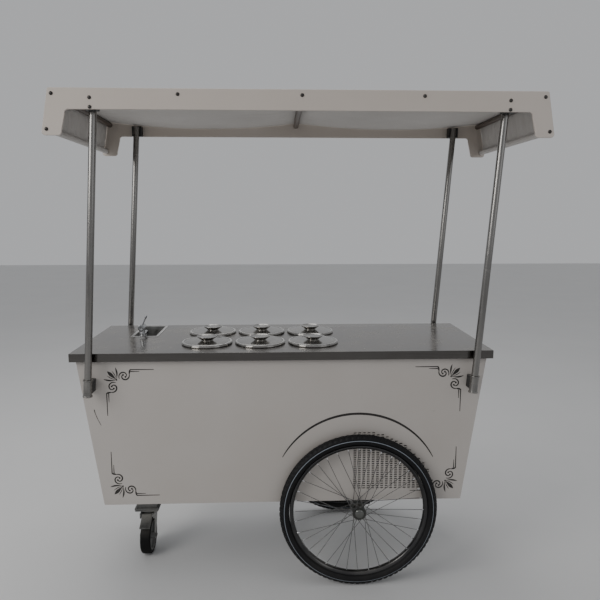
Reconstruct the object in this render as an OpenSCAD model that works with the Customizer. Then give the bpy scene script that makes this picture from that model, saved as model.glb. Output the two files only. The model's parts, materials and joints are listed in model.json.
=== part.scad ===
// Push vending cart: a tapered, cream-painted insulated body on two spoked wheels and one
// swivel caster, with a stainless worktop over six lidded pans and a canopy on four poles.
// Millimetres, +Z up, +X along the length, customer side at -Y.
// Origin: on the ground, under the middle of the canopy.

/* [Worktop] */
// Length of the worktop, left to right
top_l = 1708; // [1640:4:2100]
// Depth of the worktop, front to back
top_d = 600; // [580:10:760]
// Height of the worktop surface above the ground
top_z = 1008; // [960:1:1250]
// Height of the folded-down edge
fold_h = 34; // [20:1:60]
// Thickness of the stainless sheet
sheet_t = 2; // [1.5:0.5:3]

/* [Body] */
// How far the worktop stands out past the front and rear faces
face_overhang = 20; // [12:1:40]
// How far the worktop stands out past each end of the body
end_overhang = 16; // [8:1:40]
// How far each end leans in from its top to its bottom
end_taper = 90; // [0:1:140]
// Height of the body's bottom edge above the ground
ground_gap = 359; // [358:1:440]
// Thickness of the painted panels
panel_t = 4; // [2:0.5:8]
// Thickness of the floor sheet
floor_t = 3; // [2:0.5:6]
// Width and height of the square chassis tube
rail_s = 40; // [30:1:50]

/* [Vent slots in the front panel] */
// Columns of slots
vent_cols = 18; // [4:1:20]
// Rows of slots
vent_rows = 26; // [4:1:28]
// Length of one slot
slot_l = 12; // [6:0.5:16]
// Height of one slot
slot_h = 5; // [3:0.5:7]
// Distance between columns
slot_pitch_x = 19.2; // [18:0.1:24]
// Distance between rows
slot_pitch_z = 9.7; // [8:0.1:12]
// Distance of the slot field's left edge from the axle, towards the left end
vent_left = 19.5; // [0:0.5:60]
// Radius around the axle that the slots stay inside
vent_r = 335; // [250:1:340]
// Distance of the condenser's middle past the axle, towards the right end
coil_shift = 126; // [100:1:140]
// Height of the slot field's lowest row above the body's bottom edge
vent_rise = 52; // [48:1:90]

/* [Cold section] */
// Outer diameter of a pan
pan_d = 200; // [160:1:240]
// Height of a pan
pan_h = 250; // [150:1:300]
// Wall of a pan
pan_wall = 2; // [1:0.5:3]
// Gap between neighbouring lids
lid_gap = 11.5; // [3:0.5:40]
// Columns of pans
pan_cols = 3; // [1:1:3]
// Rows of pans
pan_rows = 2; // [1:1:2]
// Middle of the pan grid along the cart, from the worktop's middle
grid_x = -100; // [-140:1:0]
// Middle of the pan grid front to back, from the worktop's middle
grid_y = -8; // [-20:1:20]
// Width of a pan's flange outside its wall
flange_w = 5; // [4:1:10]
// Height of the pressed collar that a pan's flange rests on
collar_h = 9; // [6:1:14]
// Wall of a lid's skirt
lid_wall = 2; // [2:0.5:5]
// Gap between a lid's skirt and the worktop
skirt_gap = 1.5; // [1:0.5:3]
// Diameter of a lid's knob at its top
knob_d = 86; // [60:1:110]
// Height of a lid's knob
knob_h = 20; // [12:1:30]
// Insulation around and under the wells
tank_wall = 22; // [12:1:30]
// Gap between a pan and its well
well_gap = 2; // [2:0.5:5]

/* [Dipper well and tap] */
// Inner length of the basin, left to right
basin_l = 100; // [80:1:120]
// Inner width of the basin, front to back
basin_w = 236; // [160:1:260]
// Depth of the basin
basin_h = 150; // [80:1:200]
// Width of the basin's rim on the worktop
basin_rim = 12; // [8:1:20]
// Gap between the basin's rim and the nearest lid
basin_gap = 130.5; // [40:0.5:140]
// Gap between the basin's rim and the worktop's rear edge
basin_back = 18; // [12:1:40]
// Diameter of the tap's column
tap_d = 18; // [14:1:24]
// Height of the tap's barrel above the worktop
tap_h = 50; // [44:1:80]

/* [Poles and canopy] */
// Outer diameter of a pole
pole_d = 28; // [20:1:34]
// Wall of a pole
pole_wall = 1.5; // [1:0.5:3]
// Lean of the poles towards the right end, in degrees
lean = 4; // [0:0.5:6]
// Distance of a pole from the end of the worktop, at the worktop's height
pole_inset = 83.5; // [60:0.5:160]
// Gap between a pole and the worktop's front or rear edge
pole_gap = 18; // [10:1:30]
// Length of a pole socket
socket_l = 66; // [40:1:90]
// Depth of the socket's top below the worktop
socket_drop = 96; // [60:1:140]
// Height of the canopy's top edge above the ground
canopy_z = 2006; // [1900:1:2440]
// How far the canopy's top edge reaches past each end of the worktop
canopy_over = 64; // [40:1:200]
// Offset of the canopy's middle from the poles' middle, towards the right end
canopy_shift = 4; // [0:1:20]
// Distance of the poles' middle past the worktop's middle, towards the right end
pole_shift = 6.5; // [0:0.5:15]
// Height of the long boards between their end tabs
board_h = 75; // [50:1:100]
// Height of the boards at their end tabs
tab_h = 167; // [130:1:220]
// Width of an end tab
tab_w = 72; // [50:1:90]
// Flare of the canopy's ends, in degrees
flare = 10; // [0:0.5:15]
// Thickness of the boards
board_t = 10; // [6:1:16]
// Thickness of the black blocks between poles and boards
block_t = 20; // [10:1:30]
// Diameter of the canopy's cross tubes
tube_d = 25; // [18:1:30]
// Diameter of the rail in each end's hem
hem_d = 20; // [14:1:24]
// Sag of the roof fabric between tubes
fabric_sag = 28; // [10:1:34]
// Thickness of the roof fabric
fabric_t = 1.5; // [1:0.5:3]

/* [Spoked wheels] */
// Outer diameter of the tyre
wheel_d = 662; // [640:1:700]
// Width of the tyre
tyre_w = 45; // [40:1:54]
// Diameter at the rim's outer edge
rim_d = 576; // [540:1:580]
// Width of the rim
rim_w = 30; // [26:1:34]
// Gap between the tyre and the body's face
wheel_gap = 9; // [9:1:60]
// Distance of the axle from the worktop's right end
axle_inset = 545; // [480:1:640]
// Number of spokes in a wheel
spoke_n = 36; // [12:12:36]
// Diameter of a spoke
spoke_d = 2.4; // [2:0.1:3]
// Diameter of the axle spindle
axle_d = 16; // [12:1:20]
// Width of the hub between its ends
hub_w = 58; // [50:1:60]
// Diameter of a hub flange
hub_flange_d = 58; // [50:1:64]

/* [Caster] */
// Diameter of the caster wheel
caster_d = 160; // [125:1:180]
// Width of the caster wheel
caster_w = 48; // [36:1:56]
// Distance of the caster's swivel axis from the worktop's left end
caster_inset = 224; // [180:1:280]
// Trail of the caster wheel behind its swivel axis
caster_trail = 35; // [20:1:50]
// Height of the caster's mounting plate above the ground
caster_h = 212; // [210:1:280]

/* [Rear doors] */
// Width of one door
door_w = 320; // [240:1:330]
// Height of a door
door_h = 290; // [200:1:300]
// Thickness of a door
door_t = 16; // [12:1:20]
// Distance of the left hinge axis from the bottom corner of the body
door_inset = 46; // [30:1:90]

/* [Fits] */
// Radial clearance of every pin in its bore
pin_fit = 0.05; // [0.02:0.01:0.1]
// Gap left between faces that slide or turn past each other
face_gap = 0.4; // [0.3:0.1:1]

/* [Hidden] */
$fn = 64;

// Heights
under_z = top_z - sheet_t;
body_h = under_z - ground_gap;
rail_z = ground_gap + panel_t;
floor_z = rail_z + rail_s;
deck_z = floor_z + floor_t;
axle_z = wheel_d / 2;

// Body outline, measured from the worktop's middle
body_y = top_d / 2 - face_overhang;
body_top_half = top_l / 2 - end_overhang;
body_bot_half = body_top_half - end_taper;
function half_at(z) = body_bot_half + end_taper * (z - ground_gap) / body_h;
end_angle = atan(end_taper / body_h);
rail_y = body_y - panel_t - rail_s / 2 - 16;

// Poles and canopy
pole_x = top_l / 2 - pole_inset;
pole_y = top_d / 2 + pole_gap + pole_d / 2;
pole_top = canopy_z - 30;
pole_foot = top_z - socket_drop - socket_l;
block_h = 46;
block_w = 46;
block_z = pole_top - block_h / 2;
function lean_x(z) = tan(lean) * (z - top_z);
cart_x = -lean_x(block_z) - canopy_shift;
board_in = pole_y + pole_d / 2 + block_t;
tube_z = canopy_z - 8 - tube_d / 2;
canopy_half = top_l / 2 + canopy_over;
tube_end_x = canopy_half - 15;
hem_z = canopy_z - tab_h + 22;
hem_x = tube_end_x + (tube_z - hem_z) * tan(flare) + (tube_d - hem_d) / 4;

// Wheels and caster, along the cart
axle_x = top_l / 2 - axle_inset;
wheel_y = body_y + wheel_gap + tyre_w / 2;
caster_x = -top_l / 2 + caster_inset;
caster_axle_z = caster_d / 2;

// Cold section and basin
well_r = pan_d / 2 + well_gap;
collar_r = pan_d / 2 + flange_w;
lid_play = 1;
lid_d = 2 * (collar_r + lid_play + lid_wall);
pan_pitch = lid_d + lid_gap;
pan_z = top_z + collar_h;
function pan_pos(i) = [
    grid_x + (i % pan_cols - (pan_cols - 1) / 2) * pan_pitch,
    grid_y + (floor(i / pan_cols) - (pan_rows - 1) / 2) * pan_pitch
];
tank_l = (pan_cols - 1) * pan_pitch + 2 * (well_r + tank_wall);
tank_w = (pan_rows - 1) * pan_pitch + 2 * (well_r + tank_wall);
well_depth = pan_h + 12;
tank_h = well_depth + tank_wall;
basin_x = grid_x - (pan_cols - 1) / 2 * pan_pitch - lid_d / 2 - basin_gap - basin_rim - basin_l / 2;
basin_y = top_d / 2 - basin_back - basin_rim - basin_w / 2;
basin_t = 1.5;
tap_y = basin_y - basin_w / 2 - basin_rim - 18;
barrel_z = top_z + tap_h;
barrel_r = tap_d / 2 + 2;

// Refrigeration, behind the vent slots
vent_z = ground_gap + vent_rise;
coil_s = 236;
coil_t = 40;
coil_y = -body_y + panel_t + 8;
coil_x = axle_x + coil_shift;
coil_z = deck_z + 6;
fan_y = coil_y + coil_t;
fan_r = 98;
fan_mid_z = coil_z + coil_s / 2;
compressor_r = 74;
compressor_h = 165;
compressor_y = 80;
pipe_r = 5;

// Rear doors
hinge_r = 6;
hinge_y = body_y + face_gap + door_t / 2;
hinge_l = -body_bot_half + door_inset;
hinge_gap = 12;
door_z = deck_z + 6;
hinge_right = hinge_l + 2 * (door_w + hinge_gap) + 2;

// Every cart-borne piece is drawn about the worktop's middle and moved here.
module on_cart() {
    translate([cart_x, 0, 0]) children();
}

// A round bar from one point to another.
module rod(a, b, r) {
    v = b - a;
    translate(a) rotate([0, acos(v.z / norm(v)), atan2(v.y, v.x)]) cylinder(h = norm(v), r = r);
}

// A round pipe through a list of points, with ball corners.
module pipe(points, r) {
    for (i = [0 : len(points) - 2]) rod(points[i], points[i + 1], r);
    for (i = [1 : len(points) - 2]) translate(points[i]) sphere(r = r);
}

// A box given by its lowest corner and its highest corner.
module span(low, high) {
    translate(low) cube(high - low);
}

// A plate in the XZ plane, its outer face at y = 0 and its thickness towards +Y.
module upright_plate(thickness) {
    translate([0, thickness, 0]) rotate([90, 0, 0]) linear_extrude(height = thickness) children();
}

// The tapered outline of the front and rear panels.
module body_outline() {
    polygon([
        [-body_bot_half, ground_gap], [body_bot_half, ground_gap],
        [body_top_half, under_z], [-body_top_half, under_z]
    ]);
}

// Places a child on the axis of one leaning pole, at height z.
module at_pole(sx, sy, z) {
    translate([cart_x + pole_shift + sx * pole_x + lean_x(z), sy * pole_y, z])
        rotate([0, lean, 0]) children();
}

// Puts a child at all four poles, with its front side turned outwards.
module each_pole(z) {
    for (sx = [-1, 1]) for (sy = [-1, 1]) at_pole(sx, sy, z) children();
}

module chassis_frame() {
    rail_half = body_bot_half - panel_t - 20;
    pad = 110;
    bars = [-rail_half + rail_s / 2, caster_x, axle_x - 70, axle_x + 70, rail_half - rail_s / 2];
    color("#8f9193") on_cart() {
        for (s = [-1, 1]) difference() {
            span([-rail_half, s * rail_y - rail_s / 2, rail_z],
                [rail_half, s * rail_y + rail_s / 2, floor_z]);
            span([-rail_half - 1, s * rail_y - rail_s / 2 + 3, rail_z + 3],
                 [rail_half + 1, s * rail_y + rail_s / 2 - 3, floor_z - 3]);
        }
        for (x = bars) difference() {
            span([x - rail_s / 2, -rail_y + rail_s / 2, rail_z],
                [x + rail_s / 2, rail_y - rail_s / 2, floor_z]);
            span([x - rail_s / 2 + 3, -rail_y + rail_s / 2 + 3, rail_z - 1],
                 [x + rail_s / 2 - 3, rail_y - rail_s / 2 - 3, floor_z - 3]);
        }
        // Leg that brings the caster's plate down from the frame
        translate([caster_x, 0, 0]) difference() {
            union() {
                span([-45, -45, caster_h], [45, 45, rail_z]);
                span([-pad / 2, -pad / 2, caster_h], [pad / 2, pad / 2, caster_h + 8]);
                span([-pad / 2, -pad / 2, rail_z - 6], [pad / 2, pad / 2, rail_z]);
            }
            span([-41, -41, caster_h + 8], [41, 60, rail_z - 6]);
            for (x = [-1, 1]) for (y = [-1, 1])
                translate([x * 44, y * 49.5, caster_h - 1]) cylinder(h = 10, r = 3.5);
        }
    }
}

hub_end = wheel_y + hub_w / 2;
stub = 5;
module axle_beam() {
    beam = 44;
    color("#8f9193") on_cart() translate([axle_x, 0, 0]) {
        difference() {
            span([-beam / 2, -body_y + 2, axle_z - beam / 2], [beam / 2, body_y - 2, axle_z + beam / 2]);
            span([-beam / 2 + 5, -body_y + 30, axle_z - beam / 2 - 1],
                 [beam / 2 - 5, body_y - 30, axle_z + beam / 2 - 5]);
        }
        // Hangers up to the chassis rails, with a foot bolted to each rail
        for (s = [-1, 1]) difference() {
            span([-70, s * rail_y - 20, rail_z - 8], [70, s * rail_y + 20, rail_z]);
            for (x = [-55, 55]) translate([x, s * rail_y, rail_z - 9]) cylinder(h = 10, r = 4.5);
        }
        for (s = [-1, 1])
            span([-beam / 2, s * rail_y - 20, axle_z + beam / 2], [beam / 2, s * rail_y + 20, rail_z - 8]);
        // Spindles, each with a collar that spaces its hub
        for (s = [-1, 1]) translate([0, 0, axle_z]) rotate([-90 * s, 0, 0]) {
            translate([0, 0, body_y - 34]) cylinder(h = hub_end - body_y + 34 + stub, r = axle_d / 2);
            translate([0, 0, body_y - 2]) cylinder(h = hub_end - hub_w - face_gap - body_y + 2, r = 12);
        }
    }
}

// Domed caps that close the hubs and hold the wheels on.
module axle_caps() {
    cap_r = 20;
    color("#c9cccf") on_cart() for (s = [-1, 1])
        translate([axle_x, s * (hub_end + face_gap), axle_z]) rotate([-90 * s, 0, 0])
            difference() {
                rotate_extrude() intersection() {
                    union() {
                        square([cap_r, 3]);
                        translate([0, 3]) scale([1, 0.4, 1]) circle(r = cap_r - 2);
                    }
                    square([cap_r, 30]);
                }
                translate([0, 0, -1]) cylinder(h = stub + 2, r = axle_d / 2 + pin_fit);
            }
}

module body_floor() {
    half = half_at(floor_z) - panel_t / cos(end_angle) - 2;
    color("#b9bbbd") on_cart() difference() {
        span([-half, -body_y + panel_t, floor_z], [half, body_y - panel_t, deck_z]);
        for (x = [-1, 1]) translate([coil_x + x * 60, compressor_y, floor_z - 1])
            cylinder(h = floor_t + 2, r = 20);
    }
}

module front_panel() {
    color("#e6dfd2") on_cart() translate([0, -body_y, 0]) difference() {
        upright_plate(panel_t) body_outline();
        for (c = [0 : vent_cols - 1]) for (r = [0 : vent_rows - 1]) {
            x = axle_x - vent_left + c * slot_pitch_x;
            z = vent_z + r * slot_pitch_z;
            if (norm([x + slot_l / 2 - axle_x, z + slot_h / 2 - axle_z]) < vent_r)
                translate([x, -1, z]) cube([slot_l, panel_t + 2, slot_h]);
        }
    }
}

module rear_panel() {
    louvre_l = 170;
    frame = 14;
    color("#e6dfd2") on_cart() translate([0, body_y - panel_t, 0]) difference() {
        upright_plate(panel_t) body_outline();
        for (i = [0, 1]) {
            x0 = hinge_l + hinge_gap + frame + i * (door_w + 2);
            span([x0, -1, door_z + frame], [x0 + door_w - 2 * frame, panel_t + 1, door_z + door_h - frame]);
        }
        // Warm-air louvres above the rear wheel
        for (r = [0 : 7]) span([axle_x + 20, -1, wheel_d + 34 + r * 16],
                               [axle_x + 20 + louvre_l, panel_t + 1, wheel_d + 40 + r * 16]);
    }
}

// One end panel, leaning in towards its bottom, between the front and rear panels.
module end_panel(s) {
    t = panel_t / cos(end_angle);
    color("#e6dfd2") on_cart() translate([0, -body_y + panel_t, 0]) upright_plate(2 * (body_y - panel_t))
        polygon([
            [s * body_bot_half, ground_gap], [s * body_top_half, under_z],
            [s * (body_top_half - t), under_z], [s * (body_bot_half - t), ground_gap]
        ]);
}

module cold_tank() {
    color("#d7dadc") on_cart() difference() {
        translate([grid_x - tank_l / 2, grid_y - tank_w / 2, under_z - tank_h])
            cube([tank_l, tank_w, tank_h]);
        for (i = [0 : pan_cols * pan_rows - 1])
            translate([pan_pos(i).x, pan_pos(i).y, under_z - well_depth])
                cylinder(h = well_depth + 1, r = well_r);
    }
}

module worktop() {
    color("#a9abad") on_cart() difference() {
        union() {
            difference() {
                span([-top_l / 2, -top_d / 2, top_z - fold_h], [top_l / 2, top_d / 2, top_z]);
                span([-top_l / 2 + sheet_t, -top_d / 2 + sheet_t, top_z - fold_h - 1],
                     [top_l / 2 - sheet_t, top_d / 2 - sheet_t, under_z]);
            }
            for (i = [0 : pan_cols * pan_rows - 1])
                translate([pan_pos(i).x, pan_pos(i).y, under_z])
                    cylinder(h = collar_h + sheet_t, r = collar_r);
        }
        for (i = [0 : pan_cols * pan_rows - 1])
            translate([pan_pos(i).x, pan_pos(i).y, under_z - 1])
                cylinder(h = collar_h + sheet_t + 2, r = well_r);
        translate([basin_x - basin_l / 2 - basin_t, basin_y - basin_w / 2 - basin_t, under_z - 1])
            cube([basin_l + 2 * basin_t, basin_w + 2 * basin_t, sheet_t + 2]);
    }
}

module dipper_well() {
    rim_l = basin_l + 2 * basin_rim;
    rim_wd = basin_w + 2 * basin_rim;
    color("#a0a3a6") on_cart() translate([basin_x, basin_y, 0]) difference() {
        union() {
            translate([-rim_l / 2, -rim_wd / 2, top_z]) cube([rim_l, rim_wd, basin_t]);
            translate([-basin_l / 2 - basin_t, -basin_w / 2 - basin_t, top_z - basin_h])
                cube([basin_l + 2 * basin_t, basin_w + 2 * basin_t, basin_h]);
            translate([0, 0, top_z - basin_h - 30]) cylinder(h = 31, r = 20);
        }
        translate([-basin_l / 2, -basin_w / 2, top_z - basin_h + basin_t])
            cube([basin_l, basin_w, basin_h + 5]);
        translate([0, 0, top_z - basin_h - 31]) cylinder(h = 40, r = 17);
    }
}

// Door-side half of a hinge: knuckle around the pin and an arm to the door's edge.
// Both doors are drawn with their hinge axis at x = 0 and their leaf towards +X.
knuckle_h = 22;
hinge_zs = [door_z + 40, door_z + door_h - 40 - 2 * knuckle_h];
module door_leaf(s) {
    skin = 2;
    lip = 26;
    difference() {
        union() {
            span([s > 0 ? hinge_gap : -hinge_gap - door_w, -door_t / 2, door_z],
                 [s > 0 ? hinge_gap + door_w : -hinge_gap, door_t / 2, door_z + door_h]);
            for (z = hinge_zs) {
                translate([0, 0, z + knuckle_h + face_gap]) cylinder(h = knuckle_h - face_gap, r = hinge_r);
                span([s > 0 ? 0 : -hinge_gap - 1, 2, z + knuckle_h + face_gap],
                     [s > 0 ? hinge_gap + 1 : 0, hinge_r, z + 2 * knuckle_h]);
            }
        }
        for (z = hinge_zs) translate([0, 0, z + knuckle_h])
            cylinder(h = knuckle_h + 1, r = hinge_r / 2 + pin_fit);
        // Hollow back of the folded door, and the finger pull cut in its outer face
        span([s > 0 ? hinge_gap + skin : -hinge_gap - door_w + skin + lip + 30, -door_t / 2 - 1,
            door_z + skin],
             [s > 0 ? hinge_gap + door_w - skin - lip - 30 : -hinge_gap - skin, door_t / 2 - skin,
                 door_z + door_h - skin]);
        span([s > 0 ? hinge_gap + door_w - lip - 10 : -hinge_gap - door_w + 10, -1,
            door_z + door_h / 2 - 45],
             [s > 0 ? hinge_gap + door_w - 10 : -hinge_gap - door_w + lip + 10, door_t,
                 door_z + door_h / 2 + 45]);
    }
}

module door(s, x) {
    color("#e6dfd2") on_cart() translate([x, hinge_y, 0]) door_leaf(s);
}

// Body-side halves of the four hinges: leaf, lower knuckle and pin.
module door_hinges() {
    color("#b4b7ba") on_cart() for (side = [[1, hinge_l], [-1, hinge_right]]) for (z = hinge_zs)
        translate([side[1], hinge_y, 0]) {
            translate([0, 0, z]) cylinder(h = knuckle_h, r = hinge_r);
            translate([0, 0, z]) cylinder(h = 2 * knuckle_h + 2, r = hinge_r / 2);
            span([side[0] > 0 ? -24 : -2, body_y - hinge_y, z],
                [side[0] > 0 ? 2 : 24, body_y - hinge_y + 3, z + knuckle_h]);
        }
}

inlet_x = body_bot_half - 120;
inlet_z = under_z - 130;
module power_inlet() {
    color("#1c1c1e") on_cart() translate([inlet_x, body_y, inlet_z]) {
        difference() {
            span([-30, 0, -22], [30, 16, 22]);
            span([-20, 4, -12], [20, 17, 12]);
        }
        for (x = [-10, 0, 10]) span([x - 2, 3, -6], [x + 2, 14, 2]);
    }
}

module control_panel() {
    color("#2a2b2e") on_cart() translate([inlet_x - 150, body_y, inlet_z]) {
        difference() {
            span([-70, 0, -35], [70, 6, 35]);
            span([-56, 4, -16], [14, 7, 18]);
        }
        span([28, 5, -14], [54, 9, 14]);
    }
}

module compressor() {
    color("#2b2d30") on_cart() translate([coil_x, compressor_y, deck_z]) {
        rotate_extrude() difference() {
            union() {
                translate([0, 14]) square([compressor_r, compressor_h - 50]);
                translate([0, compressor_h - 36]) scale([1, 0.5]) circle(r = compressor_r);
            }
            translate([-compressor_r * 2, -1]) square([compressor_r * 2, compressor_h * 2]);
        }
        span([-95, -62, 8], [95, 62, 14]);
        for (x = [-1, 1]) for (y = [-1, 1]) translate([x * 80, y * 48, 0]) cylinder(h = 8, r = 12);
    }
}

module condenser() {
    fins = 19;
    pitch = (coil_s - 16) / fins;
    color("#9fa2a5") on_cart() translate([coil_x - coil_s / 2, coil_y, coil_z]) {
        difference() {
            cube([coil_s, coil_t, coil_s]);
            span([8, -1, 8], [coil_s - 8, coil_t + 1, coil_s - 8]);
        }
        for (i = [1 : fins - 1]) translate([8 + i * pitch - 1, 3, 4]) cube([2, coil_t - 6, coil_s - 8]);
        for (z = [40 : 52 : coil_s - 20]) translate([4, coil_t / 2, z]) rotate([0, 90, 0])
            cylinder(h = coil_s - 8, r = pipe_r);
        for (x = [-1, 1]) span([coil_s / 2 + x * 80 - 10, 10, -6], [coil_s / 2 + x * 80 + 10, 30, 0]);
    }
}

module fan_housing() {
    depth = 34;
    color("#3a3c40") on_cart() translate([coil_x, fan_y, fan_mid_z]) {
        difference() {
            span([-coil_s / 2, 0, -coil_s / 2], [coil_s / 2, depth, coil_s / 2]);
            translate([0, -1, 0]) rotate([-90, 0, 0]) cylinder(h = depth + 2, r = fan_r + 6);
        }
        for (x = [-1, 1]) span([x * 26 - 4, depth - 4, -fan_r - 8], [x * 26 + 4, depth, fan_r + 8]);
        translate([0, depth - 4, 0]) rotate([-90, 0, 0]) cylinder(h = 48, r = 34);
        translate([0, 5, 0]) rotate([-90, 0, 0]) cylinder(h = depth, r = 4);
    }
}

module fan_rotor() {
    blades = 5;
    color("#55585c") on_cart() translate([coil_x, fan_y + 15, fan_mid_z]) rotate([-90, 0, 0]) difference() {
        union() {
            translate([0, 0, -9]) cylinder(h = 20, r = 20);
            for (i = [0 : blades - 1]) rotate([0, 0, i * 360 / blades]) translate([17, 0, 0])
                rotate([28, 0, 0]) span([0, -17, -1], [fan_r - 24, 17, 1]);
        }
        translate([0, 0, -10]) cylinder(h = 24, r = 4 + pin_fit);
    }
}

module refrigerant_pipes() {
    top = deck_z + compressor_h + 60;
    side = grid_x + tank_l / 2;
    color("#b87333") on_cart() {
        pipe([[coil_x + 30, compressor_y, deck_z + compressor_h - 20],
            [coil_x + 30, compressor_y, top + 40],
              [coil_x + 30, coil_y + coil_t / 2, top + 40],
                  [coil_x + 30, coil_y + coil_t / 2, coil_z + coil_s - 2]], pipe_r);
        pipe([[side - 2, compressor_y - 40, under_z - tank_h + 40],
            [side + 50, compressor_y - 40, under_z - tank_h + 40],
              [side + 50, compressor_y, under_z - tank_h + 40],
                  [coil_x - 30, compressor_y, under_z - tank_h + 40],
              [coil_x - 30, compressor_y, deck_z + compressor_h - 20]], pipe_r);
        pipe([[coil_x - 60, coil_y + coil_t / 2, coil_z + coil_s - 2],
            [coil_x - 60, coil_y + coil_t / 2, top + 110],
              [coil_x - 60, compressor_y - 260, top + 110], [side - 2, compressor_y - 260, top + 110]],
                  pipe_r);
    }
}

can_l = 150;
can_w = 240;
can_h = 270;
can_x = basin_x - 8;
module water_tanks() {
    color("#dfe4e6") on_cart() for (x = [can_x, can_x + can_l + 24]) translate([x, 0, deck_z]) {
        span([-can_l / 2, -can_w / 2, 0], [can_l / 2, can_w / 2, can_h - 40]);
        span([-can_l / 2 + 18, -can_w / 2 + 18, can_h - 40], [can_l / 2 - 18, can_w / 2 - 18, can_h - 22]);
        translate([0, -can_w / 4, can_h - 22]) cylinder(h = 22, r = 24);
    }
}

module water_pump() {
    x = can_x + 2 * can_l + 40;
    color("#35383c") on_cart() translate([x, 40, deck_z]) {
        span([-10, -30, 0], [130, 30, 6]);
        span([0, -28, 6], [48, 28, 60]);
        translate([47, 0, 34]) rotate([0, 90, 0]) cylinder(h = 80, r = 24);
        span([90, -24, 5], [110, 24, 30]);
        for (y = [-14, 14]) translate([24, y, 59]) cylinder(h = 20, r = 7);
    }
}

module tap_body() {
    color("#d4d7da") on_cart() translate([basin_x, tap_y, 0]) {
        translate([0, 0, top_z]) cylinder(h = 5, r = 16);
        translate([0, 0, top_z]) cylinder(h = tap_h, r = tap_d / 2);
        translate([0, -26, barrel_z]) rotate([-90, 0, 0]) cylinder(h = 44, r = barrel_r);
        translate([0, -39, barrel_z]) rotate([-90, 0, 0]) cylinder(h = 14, r = 4);
    }
}

module tap_spout() {
    arm = 74;
    ring_z = top_z + 9;
    color("#d4d7da") on_cart() translate([basin_x, tap_y, ring_z]) difference() {
        union() {
            cylinder(h = 16, r = tap_d / 2 + 6);
            translate([0, 12, 8]) rotate([-90, 0, 0]) cylinder(h = arm - 12, r = 6);
            translate([0, arm, -3]) cylinder(h = 19, r = 7);
        }
        translate([0, 0, -1]) cylinder(h = 18, r = tap_d / 2 + pin_fit);
        translate([0, arm, -4]) cylinder(h = 9, r = 4.5);
    }
}

// Quarter-turn lever on the barrel's front end, its arm leaning to the right.
module tap_lever() {
    arm = 46;
    tilt = 24;
    color("#d4d7da") on_cart() translate([basin_x, tap_y - 26 - face_gap, barrel_z]) difference() {
        union() {
            rotate([90, 0, 0]) cylinder(h = 12, r = barrel_r + 1);
            translate([0, -6, 0]) rotate([0, tilt, 0]) {
                cylinder(h = barrel_r + arm, r = 3);
                translate([0, 0, barrel_r + arm - 10]) cylinder(h = 16, r = 4.5);
            }
        }
        translate([0, 1, 0]) rotate([90, 0, 0]) cylinder(h = 16, r = 4 + pin_fit);
    }
}

module pan(i) {
    color("#b9bcbf") on_cart() translate([pan_pos(i).x, pan_pos(i).y, pan_z]) rotate_extrude()
        polygon([
            [0, sheet_t - pan_h], [pan_d / 2, sheet_t - pan_h], [pan_d / 2, 0], [collar_r, 0],
            [collar_r, sheet_t], [pan_d / 2 - pan_wall, sheet_t],
            [pan_d / 2 - pan_wall, sheet_t - pan_h + pan_wall], [0, sheet_t - pan_h + pan_wall]
        ]);
}

// A lid: a shallow disc with a skirt outside the pan's flange, and a flared, dished knob.
module lid(i) {
    t = 1.5;
    r = lid_d / 2;
    base = pan_z + sheet_t;
    skirt = top_z + skirt_gap - base;
    k = knob_d / 2;
    color("#c2c5c8") on_cart() translate([pan_pos(i).x, pan_pos(i).y, base]) rotate_extrude(convexity = 6)
        polygon([
            [0, 0], [r - lid_wall, 0], [r - lid_wall, skirt], [r, skirt], [r, 0], [r - 4, t + 1.5],
            [k * 0.72, t + 2], [k * 0.72, t + 3], [k, t + knob_h - 3], [k, t + knob_h], [k - 3, t + knob_h],
            [k * 0.6, t + knob_h - 5], [0, t + knob_h - 5]
        ]);
}

module pole_sockets() {
    wall = 2.5;
    lip = 5;
    color("#9a9da0") each_pole(pole_foot) difference() {
        union() {
            translate([0, 0, -4]) cylinder(h = socket_l + 4, r = pole_d / 2 + wall);
            translate([0, 0, -4]) cylinder(h = lip, r = pole_d / 2 + wall + 2.5);
            translate([0, 0, socket_l - lip]) cylinder(h = lip, r = pole_d / 2 + wall + 2.5);
        }
        cylinder(h = socket_l + 1, r = pole_d / 2 + pin_fit);
    }
}

// Standoff blocks between the body's faces and the sockets.
module socket_blocks() {
    h = socket_l - 16;
    w = 30;
    color("#242426") for (sx = [-1, 1]) for (sy = [-1, 1])
        difference() {
            at_pole(sx, sy, pole_foot + socket_l / 2)
                span([-w / 2, sy > 0 ? body_y - pole_y : 0, -h / 2],
                    [w / 2, sy > 0 ? 0 : pole_y - body_y, h / 2]);
            at_pole(sx, sy, pole_foot) translate([0, 0, -5])
                cylinder(h = socket_l + 10, r = pole_d / 2 + 2.5);
        }
}

module canopy_poles() {
    l = (pole_top - pole_foot) / cos(lean);
    color("#b5b7b6") each_pole(pole_foot) difference() {
        cylinder(h = l, r = pole_d / 2);
        translate([0, 0, -1]) cylinder(h = l + 2, r = pole_d / 2 - pole_wall);
    }
}

// Blocks between the poles' tops and the boards.
module canopy_blocks() {
    color("#242426") for (sx = [-1, 1]) for (sy = [-1, 1]) difference() {
        translate([cart_x + pole_shift + sx * pole_x + lean_x(block_z), sy * pole_y, block_z])
            span([-block_w / 2, sy > 0 ? 0 : pole_y - board_in, -block_h / 2],
                 [block_w / 2, sy > 0 ? board_in - pole_y : 0, block_h / 2]);
        at_pole(sx, sy, block_z) translate([0, 0, -block_h]) cylinder(h = 2 * block_h, r = pole_d / 2);
    }
}

// Points of a round corner: centre, radius, first and last angle.
function arc(c, r, a0, a1, steps = 8) = [
    for (i = [0 : steps]) c + r * [cos(a0 + (a1 - a0) * i / steps), sin(a0 + (a1 - a0) * i / steps)]
];

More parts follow.
